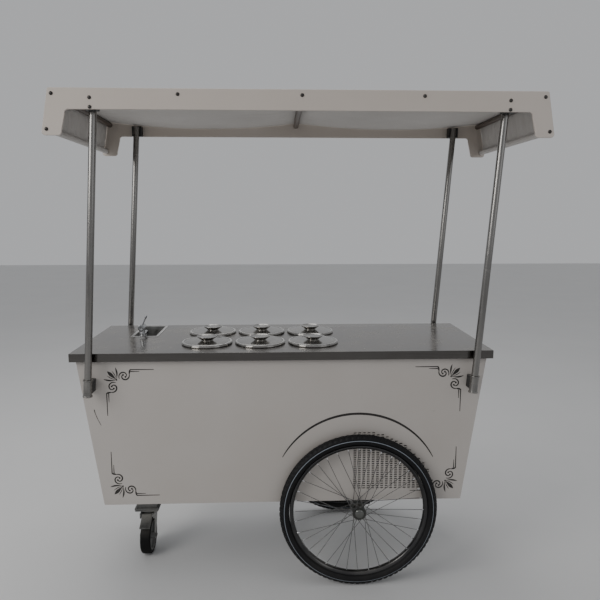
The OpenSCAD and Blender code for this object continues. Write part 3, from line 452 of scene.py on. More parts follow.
cream_body = sprayed("cream_paint", rgb(0.49, 0.458, 0.432), 0.34, 0.18,
                     under=rgb(0.24, 0.20, 0.17))
cream_board = sprayed("board_paint", rgb(0.56, 0.505, 0.458), 0.40, 0.12,
                      under=rgb(0.30, 0.26, 0.22))
chassis_coat = sprayed("frame_steel", rgb(0.10, 0.10, 0.10), 0.42, 0.1, dirt=0.5)
bronze_tube = sprayed("canopy_tube", rgb(0.085, 0.062, 0.048), 0.36, 0.1, 600, 0.25)
black_enamel = sprayed("machine_paint", rgb(0.022, 0.022, 0.024), 0.24, 0.5, 500, 0.2)
casting_coat = sprayed("caster_core", rgb(0.13, 0.135, 0.145), 0.44, 0.1, 300, 0.5, 0.8)
ornament_paint = sprayed("ornament_paint", rgb(0.012, 0.009, 0.008), 0.36, 0.15, 700, 0.2, 0.15)
print("paints ready")

# %% [markdown]
# Moulded plastic has a fine pebble from its tool and no clear coat. The insulated tank's
# skin and the polyethylene cans are paler and softer, and light enters the cans a little.

# %% Plastic
def moulded(name, colour, gloss, pebble=900.0, depth=0.00004, glow=0.0, dirt=0.4, shine=0.5):
    """Injection-moulded plastic; glow is how much light passes under the surface."""
    f = Finish(name)
    skin = f.pattern(skin_group, Peel=pebble, Scuff=0.35)
    dust = f.pattern(dust_group, Facing=f.facing, Floor_dirt=dirt)["Mask"]
    film = f.pattern(smudge_group, Patch=9.0)["Mask"]
    dim = tuple(c * 0.9 for c in colour[:3]) + (1,)
    tone = blended(f.tree, skin["Cloud"], dim, colour)
    tone = blended(f.tree, maths(f.tree, "MULTIPLY", dust, 0.5), tone, DUST)
    f.set(
        Base_Color=blended(f.tree, maths(f.tree, "MULTIPLY", skin["Scuffed"], 0.3), tone,
                           rgb(0.45, 0.45, 0.45)),
        Roughness=maths(f.tree, "ADD", gloss, maths(f.tree, "MULTIPLY", film, 0.12)),
        Normal=f.bump(skin["Height"], depth),
        Subsurface_Weight=glow, Subsurface_Radius=(0.01, 0.01, 0.01), Specular_IOR_Level=shine,
    )
    return f.material


black_block = moulded("black_block", rgb(0.018, 0.018, 0.019), 0.46)
glossy_black = moulded("plastic_dark", rgb(0.016, 0.016, 0.018), 0.22, 1200, 0.00002)
fan_plastic = moulded("fan_plastic", rgb(0.045, 0.047, 0.05), 0.40)
tank_skin = moulded("tank_shell", rgb(0.56, 0.57, 0.57), 0.42, 500, 0.00005)
can_plastic = moulded("can_plastic", rgb(0.72, 0.75, 0.76), 0.36, 700, 0.00003, 0.12)
tread_rubber = moulded("caster_rubber", rgb(0.006, 0.006, 0.006), 0.62, 520, 0.00008, 0, 0.02, 0.15)
print("plastics ready")

# %% [markdown]
# The tyre's rubber carries its pale stripe as part of the colour. The stripe is a ring at
# one radius, so the material measures the distance from the axle in the wheel's own
# plane: a Mapping node moves the axle to zero and flattens the width.

# %% Tyre rubber with a pale sidewall ring
AXLE = middle("tyre_front")
STRIPE_RADIUS, STRIPE_HALF = 0.311, 0.0012


def tyre_rubber():
    """Black rubber with fine ribs and a pale ring STRIPE_RADIUS from the axle."""
    f = Finish("tyre_rubber")
    about_axle = add(f.tree, "ShaderNodeMapping", sockets={
        "Vector": f.here, "Location": (-AXLE[0], 0, -AXLE[2]), "Scale": (1, 0, 1)})
    radius = add(f.tree, "ShaderNodeVectorMath", operation="LENGTH",
                 sockets={0: about_axle.outputs[0]}).outputs["Value"]
    off = maths(f.tree, "ABSOLUTE", maths(f.tree, "SUBTRACT", radius, STRIPE_RADIUS))
    ring = stepped(f.tree, off, STRIPE_HALF, STRIPE_HALF * 0.75)
    skin = f.pattern(skin_group, Peel=520.0, Scuff=0.5)
    dust = f.pattern(dust_group, Facing=f.facing, Floor_dirt=1.0)["Mask"]
    black = blended(f.tree, skin["Cloud"], rgb(0.004, 0.004, 0.005), rgb(0.008, 0.008, 0.009))
    stripe = blended(f.tree, skin["Cloud"], rgb(0.24, 0.27, 0.31), rgb(0.33, 0.36, 0.40))
    tone = blended(f.tree, ring, black, stripe)
    fine_ribs = maths(f.tree, "SINE", maths(f.tree, "MULTIPLY", radius, 2 * pi * 380))
    f.set(
        Base_Color=blended(f.tree, maths(f.tree, "MULTIPLY", dust, 0.03), tone, DUST),
        Roughness=stepped(f.tree, dust, 0, 1, 0.46, 0.72), Specular_IOR_Level=0.22,
        Normal=f.bump(fine_ribs, 0.00012, 0.5, f.bump(skin["Height"], 0.00008)),
    )
    return f.material


tyre_black = tyre_rubber()
print("axle at", AXLE.round(4))

# %% [markdown]
# The roof is coated awning cloth: off-white, matt and woven. Dirt follows the slubs of
# the yarn, and the stitching of the hems is a row of short bumps along two lines of the
# UV map.

# %% Awning cloth
CLOTH_HALF = 0.3635
HEM, STITCH = 0.022, 0.006
THREAD = rgb(0.75, 0.74, 0.72)


def awning_cloth():
    """Warp and weft from the UV map, with two sewn lines HEM in from the long edges."""
    f = Finish("canopy_cloth")
    weave = f.pattern(weave_group, Vector=f.uv, Threads_per_metre=760.0)
    cloud = f.pattern(skin_group, Peel=120.0, Scuff=0.0)["Cloud"]
    split = add(f.tree, "ShaderNodeSeparateXYZ", sockets={0: f.uv})
    from_hem = maths(f.tree, "ABSOLUTE", maths(
        f.tree, "SUBTRACT", maths(f.tree, "ABSOLUTE", split.outputs[1]), CLOTH_HALF - HEM))
    on_line = stepped(f.tree, from_hem, 0.0012, 0.0006)
    dashes = stepped(f.tree, maths(f.tree, "SINE", maths(
        f.tree, "MULTIPLY", split.outputs[0], 2 * pi / STITCH)), -0.5, -0.2)
    stitch = maths(f.tree, "MULTIPLY", on_line, dashes)
    pale, worn = rgb(0.60, 0.572, 0.545), rgb(0.50, 0.474, 0.448)
    tone = blended(f.tree, cloud, worn, pale)
    tone = blended(f.tree, stepped(f.tree, weave["Slub"], 0.35, 0.75, 0, 0.35), tone, worn)
    f.set(
        Base_Color=blended(f.tree, maths(f.tree, "MULTIPLY", stitch, 0.5), tone, THREAD),
        Roughness=stepped(f.tree, weave["Slub"], 0, 1, 0.72, 0.88),
        Sheen_Weight=0.15, Sheen_Roughness=0.5,
        Normal=f.bump(stitch, 0.0005, 0.8, f.bump(weave["Height"], 0.00012, 0.7)),
    )
    return f.material


cloth_white = awning_cloth()
print("cloth ready, stitched", HEM, "m from its edges")

# %% [markdown]
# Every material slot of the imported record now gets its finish, so no part is left in a
# flat colour. Some parts keep the shape they have; others are replaced later on.

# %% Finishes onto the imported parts
BY_SLOT = {
    "worktop_steel": brushed_top, "pole_steel": satin_pole, "lid_steel": polished_lid,
    "pan_steel": deep_drawn, "spoke_steel": spoke_wire, "screw_steel": screw_dark,
    "chrome": bright_chrome, "rim_chrome": rim_chrome, "hub_metal": hub_alloy,
    "caster_zinc": zinc, "floor_sheet": galvanised, "fin_aluminium": fins, "copper": copper,
    "cream_paint": cream_body, "board_paint": cream_board, "frame_steel": chassis_coat,
    "canopy_tube": bronze_tube, "machine_paint": black_enamel, "caster_core": casting_coat,
    "black_block": black_block, "plastic_dark": glossy_black, "fan_plastic": fan_plastic,
    "tank_shell": tank_skin, "can_plastic": can_plastic, "caster_rubber": tread_rubber,
    "tyre_rubber": tyre_black, "canopy_cloth": cloth_white,
}
SLOT_OF = {part["node"]: part["material_slot"] for part in frame["record"]["subparts"]}
for node, obj in NODES.items():
    if not obj.material_slots:
        obj.data.materials.append(None)
    for slot in obj.material_slots:
        slot.material = BY_SLOT[SLOT_OF[node]]
print(len(NODES), "parts finished in", len(BY_SLOT), "materials")

# %% [markdown]
# New surfaces are worked out with numpy. A surface is a grid of points with two
# directions, u and v; joining neighbours gives its faces. `grid` makes the faces of such
# a grid, and `piece` puts any number of grids into one mesh, welds its seams, turns the
# faces outwards and lets it ride on a body of the cart.

# %% From grids to pieces
def grid(points, round_u=False, round_v=False):
    """Faces between neighbours (i, j), (i+1, j), (i+1, j+1), (i, j+1); round closes a side."""
    nu, nv = points.shape[:2]
    i = np.arange(nu if round_u else nu - 1)[:, None]
    j = np.arange(nv if round_v else nv - 1)[None, :]
    i2, j2 = (i + 1) % nu, (j + 1) % nv
    faces = np.stack([i * nv + j, i2 * nv + j, i2 * nv + j2, i * nv + j2], -1)
    return points.reshape(-1, 3), faces.reshape(-1, 4)


def piece(name, grids, material, body, replaces=(), crease=35, uv=None):
    """Joins grids into one welded object that rides on a body."""
    starts = np.cumsum([0] + [len(v) for v, _ in grids[:-1]])
    verts = np.concatenate([v for v, _ in grids])
    faces = [f for (_, fs), s in zip(grids, starts) for f in (fs + s).tolist()]
    mesh = bpy.data.meshes.new(name)
    mesh.from_pydata(verts, [], faces)
    if uv is not None:
        layer = mesh.uv_layers.new(name="cut")
        spots = np.zeros(len(mesh.loops), np.int32)
        mesh.loops.foreach_get("vertex_index", spots)
        layer.data.foreach_set("uv", np.ascontiguousarray(uv[spots], np.float32).ravel())
    work = bmesh.new()
    work.from_mesh(mesh)
    bmesh.ops.remove_doubles(work, verts=work.verts, dist=1e-6)
    bmesh.ops.recalc_face_normals(work, faces=work.faces)
    work.to_mesh(mesh)
    work.free()
    return placed(name, mesh, material, body, replaces, crease)


def placed(name, mesh, material, body, replaces, crease):
    """Links a mesh as a smooth piece with creases, lets it ride on a body and hides what it replaces.
    """
    mesh.materials.clear()
    mesh.materials.append(material)
    mesh.shade_smooth()
    mesh.set_sharp_from_angle(angle=radians(crease))
    obj = bpy.data.objects.new(name, mesh)
    bpy.context.scene.collection.objects.link(obj)
    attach(obj, body)
    if replaces:
        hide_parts(*replaces)
    print(name, len(mesh.vertices), "vertices")
    return obj


# %% [markdown]
# Most turned parts are a profile swung round an axis, and a profile looks real when its
# corners are slightly round. `soft_corners` cuts each corner and puts a small curve in
# its place; `lathe` swings the result.

# %% Turning tools
def soft_corners(points, radius, steps=4, closed=True):
    """Each corner becomes (1-t)²·before + 2t(1-t)·corner + t²·after, radius away at most."""
    points = np.asarray(points, float)
    before, after = np.roll(points, 1, 0), np.roll(points, -1, 0)
    radius = np.broadcast_to(radius, len(points))[:, None]
    long_b = np.linalg.norm(before - points, axis=1, keepdims=True)
    long_a = np.linalg.norm(after - points, axis=1, keepdims=True)
    reach_b = np.minimum(radius, long_b * 0.45)
    reach_a = np.minimum(radius, long_a * 0.45)
    way_b = (before - points) / np.maximum(long_b, 1e-9)
    way_a = (after - points) / np.maximum(long_a, 1e-9)
    if not closed:
        reach_b[[0, -1]] = reach_a[[0, -1]] = 0
    t = np.linspace(0, 1, steps)[None, :, None]
    start = (points + way_b * reach_b)[:, None, :]
    corner = points[:, None, :]
    end = (points + way_a * reach_a)[:, None, :]
    return ((1 - t) ** 2 * start + 2 * t * (1 - t) * corner + t ** 2 * end).reshape(-1, 2)


ACROSS = {"x": ((0, 1, 0), (0, 0, 1), (1, 0, 0)), "y": ((0, 0, 1), (1, 0, 0), (0, 1, 0)),
          "z": ((1, 0, 0), (0, 1, 0), (0, 0, 1))}


def lathe(profile, centre, axis="z", turns=96, closed=True):
    """centre + r·(cos a·first + sin a·second) + h·axis, for each (r, h) and each angle a."""
    first, second, along = (np.array(v, float) for v in ACROSS[axis])
    a = np.linspace(0, 2 * pi, turns, endpoint=False)
    ring = np.cos(a)[:, None] * first + np.sin(a)[:, None] * second
    profile = np.asarray(profile, float)
    r, h = profile[:, 0, None, None], profile[:, 1, None, None]
    points = np.asarray(centre) + r * ring + h * along
    return grid(points, round_u=closed, round_v=True)


def bar(path, radius, sides=20, up=(0, 0, 1)):
    """A round bar: path + radius·(cos a·side + sin a·top), with its ends drawn to a point."""
    path = np.asarray(path, float)
    way = np.gradient(path, axis=0)
    way /= np.linalg.norm(way, axis=1, keepdims=True)
    side = np.cross(way, up)
    side /= np.linalg.norm(side, axis=1, keepdims=True)
    top = np.cross(side, way)
    a = np.linspace(0, 2 * pi, sides, endpoint=False)[None, :, None]
    radius = np.broadcast_to(radius, len(path))[:, None, None]
    rings = path[:, None] + radius * (np.cos(a) * side[:, None] + np.sin(a) * top[:, None])
    ends = [np.repeat(path[[k]][:, None], sides, 1) for k in (0, -1)]
    return grid(np.concatenate([ends[0], rings, ends[1]]), round_v=True)


def sign(node):
    """-1 for a part on the customer side, 1 for one on the server side."""
    return -1 if middle(node)[1] < 0 else 1


# %% [markdown]
# Many flat parts of the cart only lack softened edges. `eased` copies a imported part,
# welds its triangles, merges the flat ones, and lets a Bevel modifier round each sharp
# edge by the few tenths of a millimetre that a press brake or a file leaves.

# %% Softened copies
BEVEL_STEPS, SHARP = 2, radians(40)


def eased(node, width, material=None):
    """A copy of a part with rounded edges, standing for it."""
    mesh = NODES[node].data.copy()
    work = bmesh.new()
    work.from_mesh(mesh)
    bmesh.ops.remove_doubles(work, verts=work.verts, dist=2e-6)
    bmesh.ops.dissolve_limit(work, angle_limit=radians(0.4), verts=work.verts, edges=work.edges)
    work.to_mesh(mesh)
    work.free()
    body = next(b for b, nodes in frame["record"]["behaviour"]["bodies"].items() if node in nodes)
    obj = placed(node + "_eased", mesh, material or BY_SLOT[SLOT_OF[node]], body,
                 (node,), 30)
    soft = obj.modifiers.new("soft edges", "BEVEL")
    soft.width, soft.segments, soft.limit_method = width, BEVEL_STEPS, "ANGLE"
    soft.angle_limit, soft.harden_normals = SHARP, True
    return obj


EASED = {
    "front_panel": 0.0006, "rear_panel": 0.0008, "end_panel_left": 0.0012,
    "end_panel_right": 0.0012, "worktop": 0.0009, "dipper_well": 0.0005,
    "door_left": 0.0008, "door_right": 0.0008, "canopy_front_board": 0.0018,
    "canopy_rear_board": 0.0018, "canopy_blocks": 0.0014, "socket_blocks": 0.0012,
    "control_panel": 0.0012, "power_inlet": 0.0012, "chassis_frame": 0.0010,
    "axle_beam": 0.0010, "caster_plate": 0.0008, "caster_fork": 0.0006,
    "caster_wheel": 0.0008, "caster_tread": 0.0020, "brake_pedal": 0.0010,
    "water_tanks": 0.0040, "water_pump": 0.0010, "fan_housing": 0.0008,
    "compressor": 0.0040, "door_hinges": 0.0004,
}
OTHER_FINISH = {"dipper_well": deep_drawn}
for node, width in EASED.items():
    eased(node, width, OTHER_FINISH.get(node))

# %% [markdown]
# A cart tyre is a torus with tread blocks cut from its crown. The section's angle and the
# wheel's angle are the two parameters. A height function, made of smoothed square waves,
# sinks the grooves below the true outer radius, so the tread never makes the wheel larger.

# %% Tyres with tread
def square_wave(phase, fill, edge=0.10):
    """1 for the share fill of each turn and 0 between, with sloping edges."""
    inside = fill / 2 - np.abs((phase % 1.0) - 0.5)
    return np.clip(inside / edge + 0.5, 0, 1)


BLOCKS, GROOVE, BEAD_OPENING = 84, 0.0026, 0.62


def tyre_surface(centre, outer, width, turns=840, sides=56):
    """Torus of tube radius width/2, its crown lowered by a groove height in the tread zone."""
    tube = width / 2
    ring = outer - tube
    a = np.linspace(0, 2 * pi, turns, endpoint=False)[:, None]
    b = np.linspace(-pi + BEAD_OPENING, pi - BEAD_OPENING, sides)[None, :]
    turn, lean = a / (2 * pi) * BLOCKS, b / radians(1)
    crown = np.clip((62 - np.abs(lean)) / 6, 0, 1)
    centre_row = square_wave(turn, 0.72) * (np.abs(lean) < 13)
    side_row = square_wave(turn + 0.5, 0.64) * (np.abs(lean) > 19) * (np.abs(lean) < 60)
    block = np.maximum(centre_row, side_row)
    sink = GROOVE * crown * (1 - block)
    shoulder = 0.0012 * np.exp(-((np.abs(lean) - 78) / 5) ** 2)
    r = tube - sink - shoulder
    radial, across = ring + r * np.cos(b), r * np.sin(b) + 0 * a
    bead = np.abs(lean) > 132
    across = np.where(bead, across * 0.98, across)
    points = np.stack([radial * np.cos(a), across, radial * np.sin(a)], -1) + centre
    inner_r, inner_w = radial[:, [-1, 0]] + 0.004 + 0 * a, across[:, [-1, 0]] * 0.55
    inside = np.stack([inner_r * np.cos(a), inner_w, inner_r * np.sin(a)], -1)
    return grid(np.concatenate([points, inside + centre], 1), round_u=True, round_v=True)


for end in ("front", "rear"):
    low, high = corners("tyre_" + end)
    outer, width = (high[2] - low[2]) / 2, high[1] - low[1]
    piece(f"tyre_{end}_tread", [tyre_surface(middle("tyre_" + end), outer, width)],
          tyre_black, "wheel_" + end, ("tyre_" + end,), 50)

# %% [markdown]
# The rim is a rolled hoop: a shallow trough with hooked edges that grip the tyre. Its
# profile is drawn once, softened and swung round the axle. Each spoke ends in a nipple
# that shows as a bright dot inside the hoop, so one small turned shape is repeated at
# every spoke by turning its points about the axle, all in one array product.

# %% Rims and nipples
RIM_DEPTH = 0.016


def rim_profile(edge, depth, width):
    """Half-hoop section from the inner face out to the hooks, as (radius, height)."""
    w, wall = width / 2, 0.0016
    low = edge - depth
    outside = [(edge, -w), (edge - 0.006, -w), (low + 0.003, -w + 0.0045), (low, -w + 0.010),
               (low, w - 0.010), (low + 0.003, w - 0.0045), (edge - 0.006, w), (edge, w)]
    inside = [(edge, w - wall - 0.0016), (edge - 0.005, w - wall - 0.0002),
              (low + 0.005, w - 0.0065), (low + wall, w - 0.0105),
              (low + wall, -w + 0.0105), (low + 0.005, -w + 0.0065),
              (edge - 0.005, -w + wall + 0.0002), (edge, -w + wall + 0.0016)]
    return soft_corners(outside + inside, 0.0016, 4)


SPOKES, NIPPLE_LENGTH, NIPPLE_R = 36, 0.011, 0.0021
for end in ("front", "rear"):
    low, high = corners("rim_" + end)
    edge, width, centre = (high[2] - low[2]) / 2, high[1] - low[1], middle("rim_" + end)
    piece(f"rim_{end}_hoop", [lathe(rim_profile(edge, RIM_DEPTH, width), centre, "y", 240)],
          rim_chrome, "wheel_" + end, ("rim_" + end,), 40)
    nipple = soft_corners([(0, 0), (NIPPLE_R, 0), (NIPPLE_R, -NIPPLE_LENGTH), (0, -NIPPLE_LENGTH)],
                          0.0006, 3, False)
    verts, faces = lathe(nipple, (0, 0, edge - 0.0155), "z", 10, closed=False)
    number = np.arange(SPOKES)
    turn, hand = number * 2 * pi / SPOKES, sign("rim_" + end)
    offset = np.where(number // 2 % 2 == 0, 0.0056, 0.0020)
    lie = hand * np.where(number % 2 == 0, 1, -1) * offset
    c, s = np.cos(turn)[:, None], np.sin(turn)[:, None]
    rings = np.stack([verts[:, 2] * c + verts[:, 0] * s, verts[:, 1] + lie[:, None],
                      -hand * (verts[:, 2] * s - verts[:, 0] * c)], -1) + centre
    piece(f"nipples_{end}", [(ring, faces) for ring in rings], nickel,
          "wheel_" + end)

# %% [markdown]
# The hub is turned from bar: a barrel with two flanges that carry the spokes. A domed cap
# closes it on each side, and both are profiles on the axle's line.

# %% Hubs and caps
FLANGE_IN = 0.002
for end in ("front", "rear"):
    low, high = corners("hub_" + end)
    half, flange, centre = (high[1] - low[1]) / 2, (high[2] - low[2]) / 2, middle("hub_" + end)
    plate = half - FLANGE_IN
    right = [(0.0082, -half), (0.012, -half), (0.014, -plate - 0.0018),
             (flange - 0.002, -plate - 0.0016), (flange, -plate - 0.0013),
             (flange, -plate + 0.0013), (flange - 0.002, -plate + 0.0016),
             (0.018, -plate + 0.004), (0.016, -0.012), (0.016, 0.0)]
    left = [(r, -h) for r, h in right[-2::-1]]
    piece(f"hub_{end}_turned", [lathe(soft_corners(right + left, 0.0010, 3), centre, "y", 80)],
          hub_alloy, "wheel_" + end, ("hub_" + end,), 40)
cap_low, cap_high = corners("axle_caps")
cap_depth, cap_r, cap_rim = 0.0102, 0.020, 0.003
dome_t = np.linspace(0, pi / 2, 10)
dome = np.stack([(cap_r - 0.0008) * np.cos(dome_t),
                 cap_rim + (cap_depth - cap_rim) * np.sin(dome_t)], -1)
cap_profile = np.concatenate([[(0, 0.0), (cap_r, 0.0), (cap_r, cap_rim - 0.0008)], dome])
caps = []
for s, face in ((-1, cap_low[1]), (1, cap_high[1])):
    base = face - s * cap_depth
    caps.append(lathe(cap_profile * (1, s), (AXLE[0], base, AXLE[2]), "y", 64, closed=False))
piece("axle_caps_domed", caps, cap_chrome, "cart", ("axle_caps",), 40)

# %% [markdown]
# A pan lid is spun from sheet: a shallow dome, a rolled rim with a groove inside it, a
# skirt outside the pan's flange, and a flared knob with a dished top. All six are the
# same profile, from the box of each packed lid.

# %% Pan lids
def lid_profile(r, depth, knob_r, knob_h):
    """Half-section from the centre of the dish, over the knob, dome and rim, and back below."""
    top, shelf = depth, depth - knob_h
    outer = [
        (0, top - 0.0046), (knob_r * 0.58, top - 0.0046), (knob_r * 0.80, top - 0.0032),
        (knob_r - 0.003, top - 0.0004), (knob_r - 0.0012, top), (knob_r, top - 0.0012),
        (knob_r * 0.97, top - 0.0040), (knob_r * 0.66, shelf + 0.0058),
        (knob_r * 0.56, shelf + 0.0022),
        (knob_r * 0.62, shelf + 0.0008), (knob_r * 0.76, shelf + 0.0004),
        (r * 0.70, shelf - 0.0004), (r * 0.86, shelf - 0.0013), (r - 0.0115, shelf - 0.0021),
        (r - 0.0100, shelf - 0.0029), (r - 0.0086, shelf - 0.0021), (r - 0.0055, shelf - 0.0019),
        (r - 0.0016, shelf - 0.0034), (r, shelf - 0.0062), (r, 0.0),
    ]
    inner = [(r - 0.0014, 0.0), (r - 0.0016, shelf - 0.0070), (r - 0.0060, shelf - 0.0036),
             (knob_r, shelf - 0.0026), (0, shelf - 0.0026)]
    return soft_corners(outer + inner, 0.0016, 4, closed=False)


KNOB_R, KNOB_H = 0.043, 0.020
for number in range(1, 7):
    low, high = corners(f"lid_{number}")
    centre = middle(f"lid_{number}") * (1, 1, 0) + (0, 0, low[2])
    profile = lid_profile((high[0] - low[0]) / 2, high[2] - low[2], KNOB_R, KNOB_H)
    piece(f"lid_{number}_spun", [lathe(profile, centre, "z", 128, closed=False)],
          polished_lid, f"lid_{number}", (f"lid_{number}",), 60)

# %% [markdown]
# The four poles lean a few degrees towards the wheels. Each is a plain length with
# softened ends, turned upright and then leaned. The sleeves that hold them have a bead
# at both ends, turned from a profile and leaned the same way.

# %% Poles and sleeves
LEAN = radians(4)
POLE_DX, POLE_Y, POLE_SHIFT = 0.7705, 0.332, 0.0065
TOP_Z = corners("worktop")[1][2]
CART_X = middle("worktop")[0]
pole_low, pole_high = corners("canopy_poles")
sleeve_low, sleeve_high = corners("pole_sockets")
POLE_R, SLEEVE_R, BEAD_R = 0.014, 0.0165, 0.019


def pole_point(sx, sy, z):
    """The centre of a pole at height z: it meets the worktop's height at POLE_DX."""
    return np.array([CART_X + POLE_SHIFT + sx * POLE_DX + (z - TOP_Z) * tan(LEAN), sy * POLE_Y, z])


def leaned(grids, foot):
    """Turns upright grids about +Y by the lean, with foot as the fixed point."""
    turn = np.array([[cos(LEAN), 0, sin(LEAN)], [0, 1, 0], [-sin(LEAN), 0, cos(LEAN)]])
    return [(v @ turn.T + foot, f) for v, f in grids]


SIDES = [(sx, sy) for sx in (-1, 1) for sy in (-1, 1)]
foot_z, head_z = pole_low[2] + POLE_R * sin(LEAN), pole_high[2] - POLE_R * sin(LEAN)
length = (head_z - foot_z) / cos(LEAN)
tube = soft_corners([(0, 0), (POLE_R, 0), (POLE_R, length), (0, length)], 0.0008, 4, False)
piece("canopy_poles_tubes",
      [g for sx, sy in SIDES for g in leaned([lathe(tube, (0, 0, 0), "z", 48, False)],
                                             pole_point(sx, sy, foot_z))],
      satin_pole, "canopy", ("canopy_poles",), 50)

sleeve_foot = sleeve_low[2] + BEAD_R * sin(LEAN)
sleeve_l = (sleeve_high[2] - sleeve_low[2] - 2 * BEAD_R * sin(LEAN)) / cos(LEAN)
bore_r = POLE_R + 0.0001
sleeve = soft_corners([
    (bore_r, sleeve_l), (bore_r, 0.004), (0.004, 0.0035), (0.004, 0), (BEAD_R, 0),
    (BEAD_R, 0.0048), (SLEEVE_R, 0.0056), (SLEEVE_R, sleeve_l - 0.0056),
    (BEAD_R, sleeve_l - 0.0048), (BEAD_R, sleeve_l)], 0.0009, 3)
piece("pole_sleeves",
      [g for sx, sy in SIDES for g in leaned([lathe(sleeve, (0, 0, 0), "z", 48)],
                                             pole_point(sx, sy, sleeve_foot))],
      satin_pole, "cart", ("pole_sockets",), 50)

# %% [markdown]
# The tap is chrome all over, so its shapes are read from reflections and need true
# curves: a column on a base ring, a round barrel with a rounded end, and a lever that
# flares towards its tip. The spout is a bent tube that swivels with its ring.

# %% Tap
RING_R, COLUMN_R, BARREL_R = 0.015, 0.009, 0.0135
ring_low, ring_high = corners("tap_spout")
lever_high = corners("tap_lever")[1]
tap_x, tap_y = middle("tap_spout")[0], ring_low[1] + RING_R
barrel_z = corners("tap_body")[1][2] - 0.011
column = soft_corners([
    (0, 0), (0.016, 0), (0.016, 0.0035), (0.0105, 0.0058), (COLUMN_R, 0.009),
    (COLUMN_R, barrel_z - TOP_Z), (0, barrel_z - TOP_Z)], 0.0012, 4, False)
barrel = soft_corners([
    (0, -0.026), (BARREL_R - 0.002, -0.026), (BARREL_R, -0.020), (BARREL_R, 0.012),
    (BARREL_R - 0.005, 0.018), (0, 0.018)], 0.0022, 6, False)
stub = soft_corners([
    (0, -0.039), (0.004, -0.039), (0.004, -0.024), (0, -0.024)], 0.0006, 3, False)
piece("tap_column", [
    lathe(column, (tap_x, tap_y, TOP_Z), "z", 48, False),
    lathe(barrel, (tap_x, tap_y, barrel_z), "y", 48, False),
    lathe(stub, (tap_x, tap_y, barrel_z), "y", 24, False)],
    bright_chrome, "cart", ("tap_body",), 40)

ring_z = ring_low[2] + 0.003
collar = soft_corners([(0.0092, 0), (RING_R, 0), (RING_R, 0.016), (0.0092, 0.016)], 0.0014, 4)
reach = ring_high[1] - 0.007 - tap_y
bend, bend_r = np.linspace(0, pi / 2, 9), 0.010
spout_path = np.concatenate([
    [(0, 0.012, 0.008)],
    np.stack([0 * bend, reach + bend_r * (np.sin(bend) - 1), 0.008 + bend_r * (np.cos(bend) - 1)], -1),
    [(0, reach, -0.003)]])
piece("tap_spout_bent", [
    lathe(collar, (tap_x, tap_y, ring_z), "z", 48),
    bar(spout_path + (tap_x, tap_y, ring_z), 0.0062, 24, (1, 0, 0))],
    bright_chrome, "tap_spout", ("tap_spout",), 40)

LEVER_TILT = radians(24)
hub_r = BARREL_R + 0.001
hub = soft_corners([(0.0041, 0), (hub_r, 0), (hub_r, -0.012), (0.0041, -0.012)], 0.0016, 4)
arm_t = np.linspace(0, 1, 24)
flared, closed_off = np.clip((arm_t - 0.72) / 0.08, 0, 1), np.clip((arm_t - 0.97) / 0.03, 0, 1)
arm_r = 0.0030 + 0.0016 * flared - 0.0022 * closed_off ** 2
arm_far = (lever_high[2] - barrel_z - 0.0045 * sin(LEVER_TILT)) / cos(LEVER_TILT)
hub_y = lever_high[1]
arm_path = np.stack([np.sin(LEVER_TILT) * arm_t * arm_far, 0 * arm_t - 0.006,
                     np.cos(LEVER_TILT) * arm_t * arm_far], -1) + (tap_x, hub_y, barrel_z)
piece("tap_lever_flared", [lathe(hub, (tap_x, hub_y, barrel_z), "y", 48),
                           bar(arm_path[2:], arm_r[2:], 20, (0, 1, 0))],
      bright_chrome, "tap_lever", ("tap_lever",), 40)

# %% [markdown]
# The canopy's cloth is one sheet. It goes over three tubes, sags between them, turns down
# at each end and closes round the hem rail. The path across the cart comes first: sag is
# 4·s·u·(1-u) for each half, then an arc over the end tube, a straight fall and an arc
# round the rail. The sheet is that path repeated along the depth, with soft ripples: long
# creases that start at the tubes, and vertical folds in the hanging ends.

# %% Cloth of the canopy
tube_low, tube_high = corners("canopy_tubes")
TUBE_R, HEM_R, THICK = 0.0125, 0.010, 0.0012
TUBE_Z = tube_high[2] - TUBE_R
HEM_Z = tube_low[2] + HEM_R
HEM_X = tube_high[0] - HEM_R
TUBE_X = 0.903
SAG = 0.028


def arc_points(centre, r, start, stop, steps):
    """centre + r·(cos a, sin a) for angles from start to stop, in degrees."""
    a = np.radians(np.linspace(start, stop, steps))
    return np.stack([centre[0] + r * np.cos(a), centre[1] + r * np.sin(a)], -1)


CLOTH_GAP = 0.0006
over = TUBE_R + CLOTH_GAP
u = np.linspace(0, 1, 74)
roof = np.stack([TUBE_X * u, TUBE_Z + over - 4 * SAG * u * (1 - u)], -1)
over_tube = arc_points((TUBE_X, TUBE_Z), over, 84, 10, 12)
at_hem = arc_points((HEM_X, HEM_Z), HEM_R + CLOTH_GAP, 10, -240, 28)
fall = over_tube[-1] + (at_hem[0] - over_tube[-1]) * np.linspace(0, 1, 30)[1:-1, None]
half_path = np.concatenate([roof, over_tube, fall, at_hem])
path = np.concatenate([half_path[:0:-1] * (-1, 1), half_path])
run = np.concatenate([[0], np.cumsum(np.linalg.norm(np.diff(path, axis=0), axis=1))])
depth = np.linspace(-CLOTH_HALF, CLOTH_HALF, 150)
X, S = np.broadcast_to(path[:, 0, None], (len(path), len(depth))), run[:, None]
Y = depth[None, :]

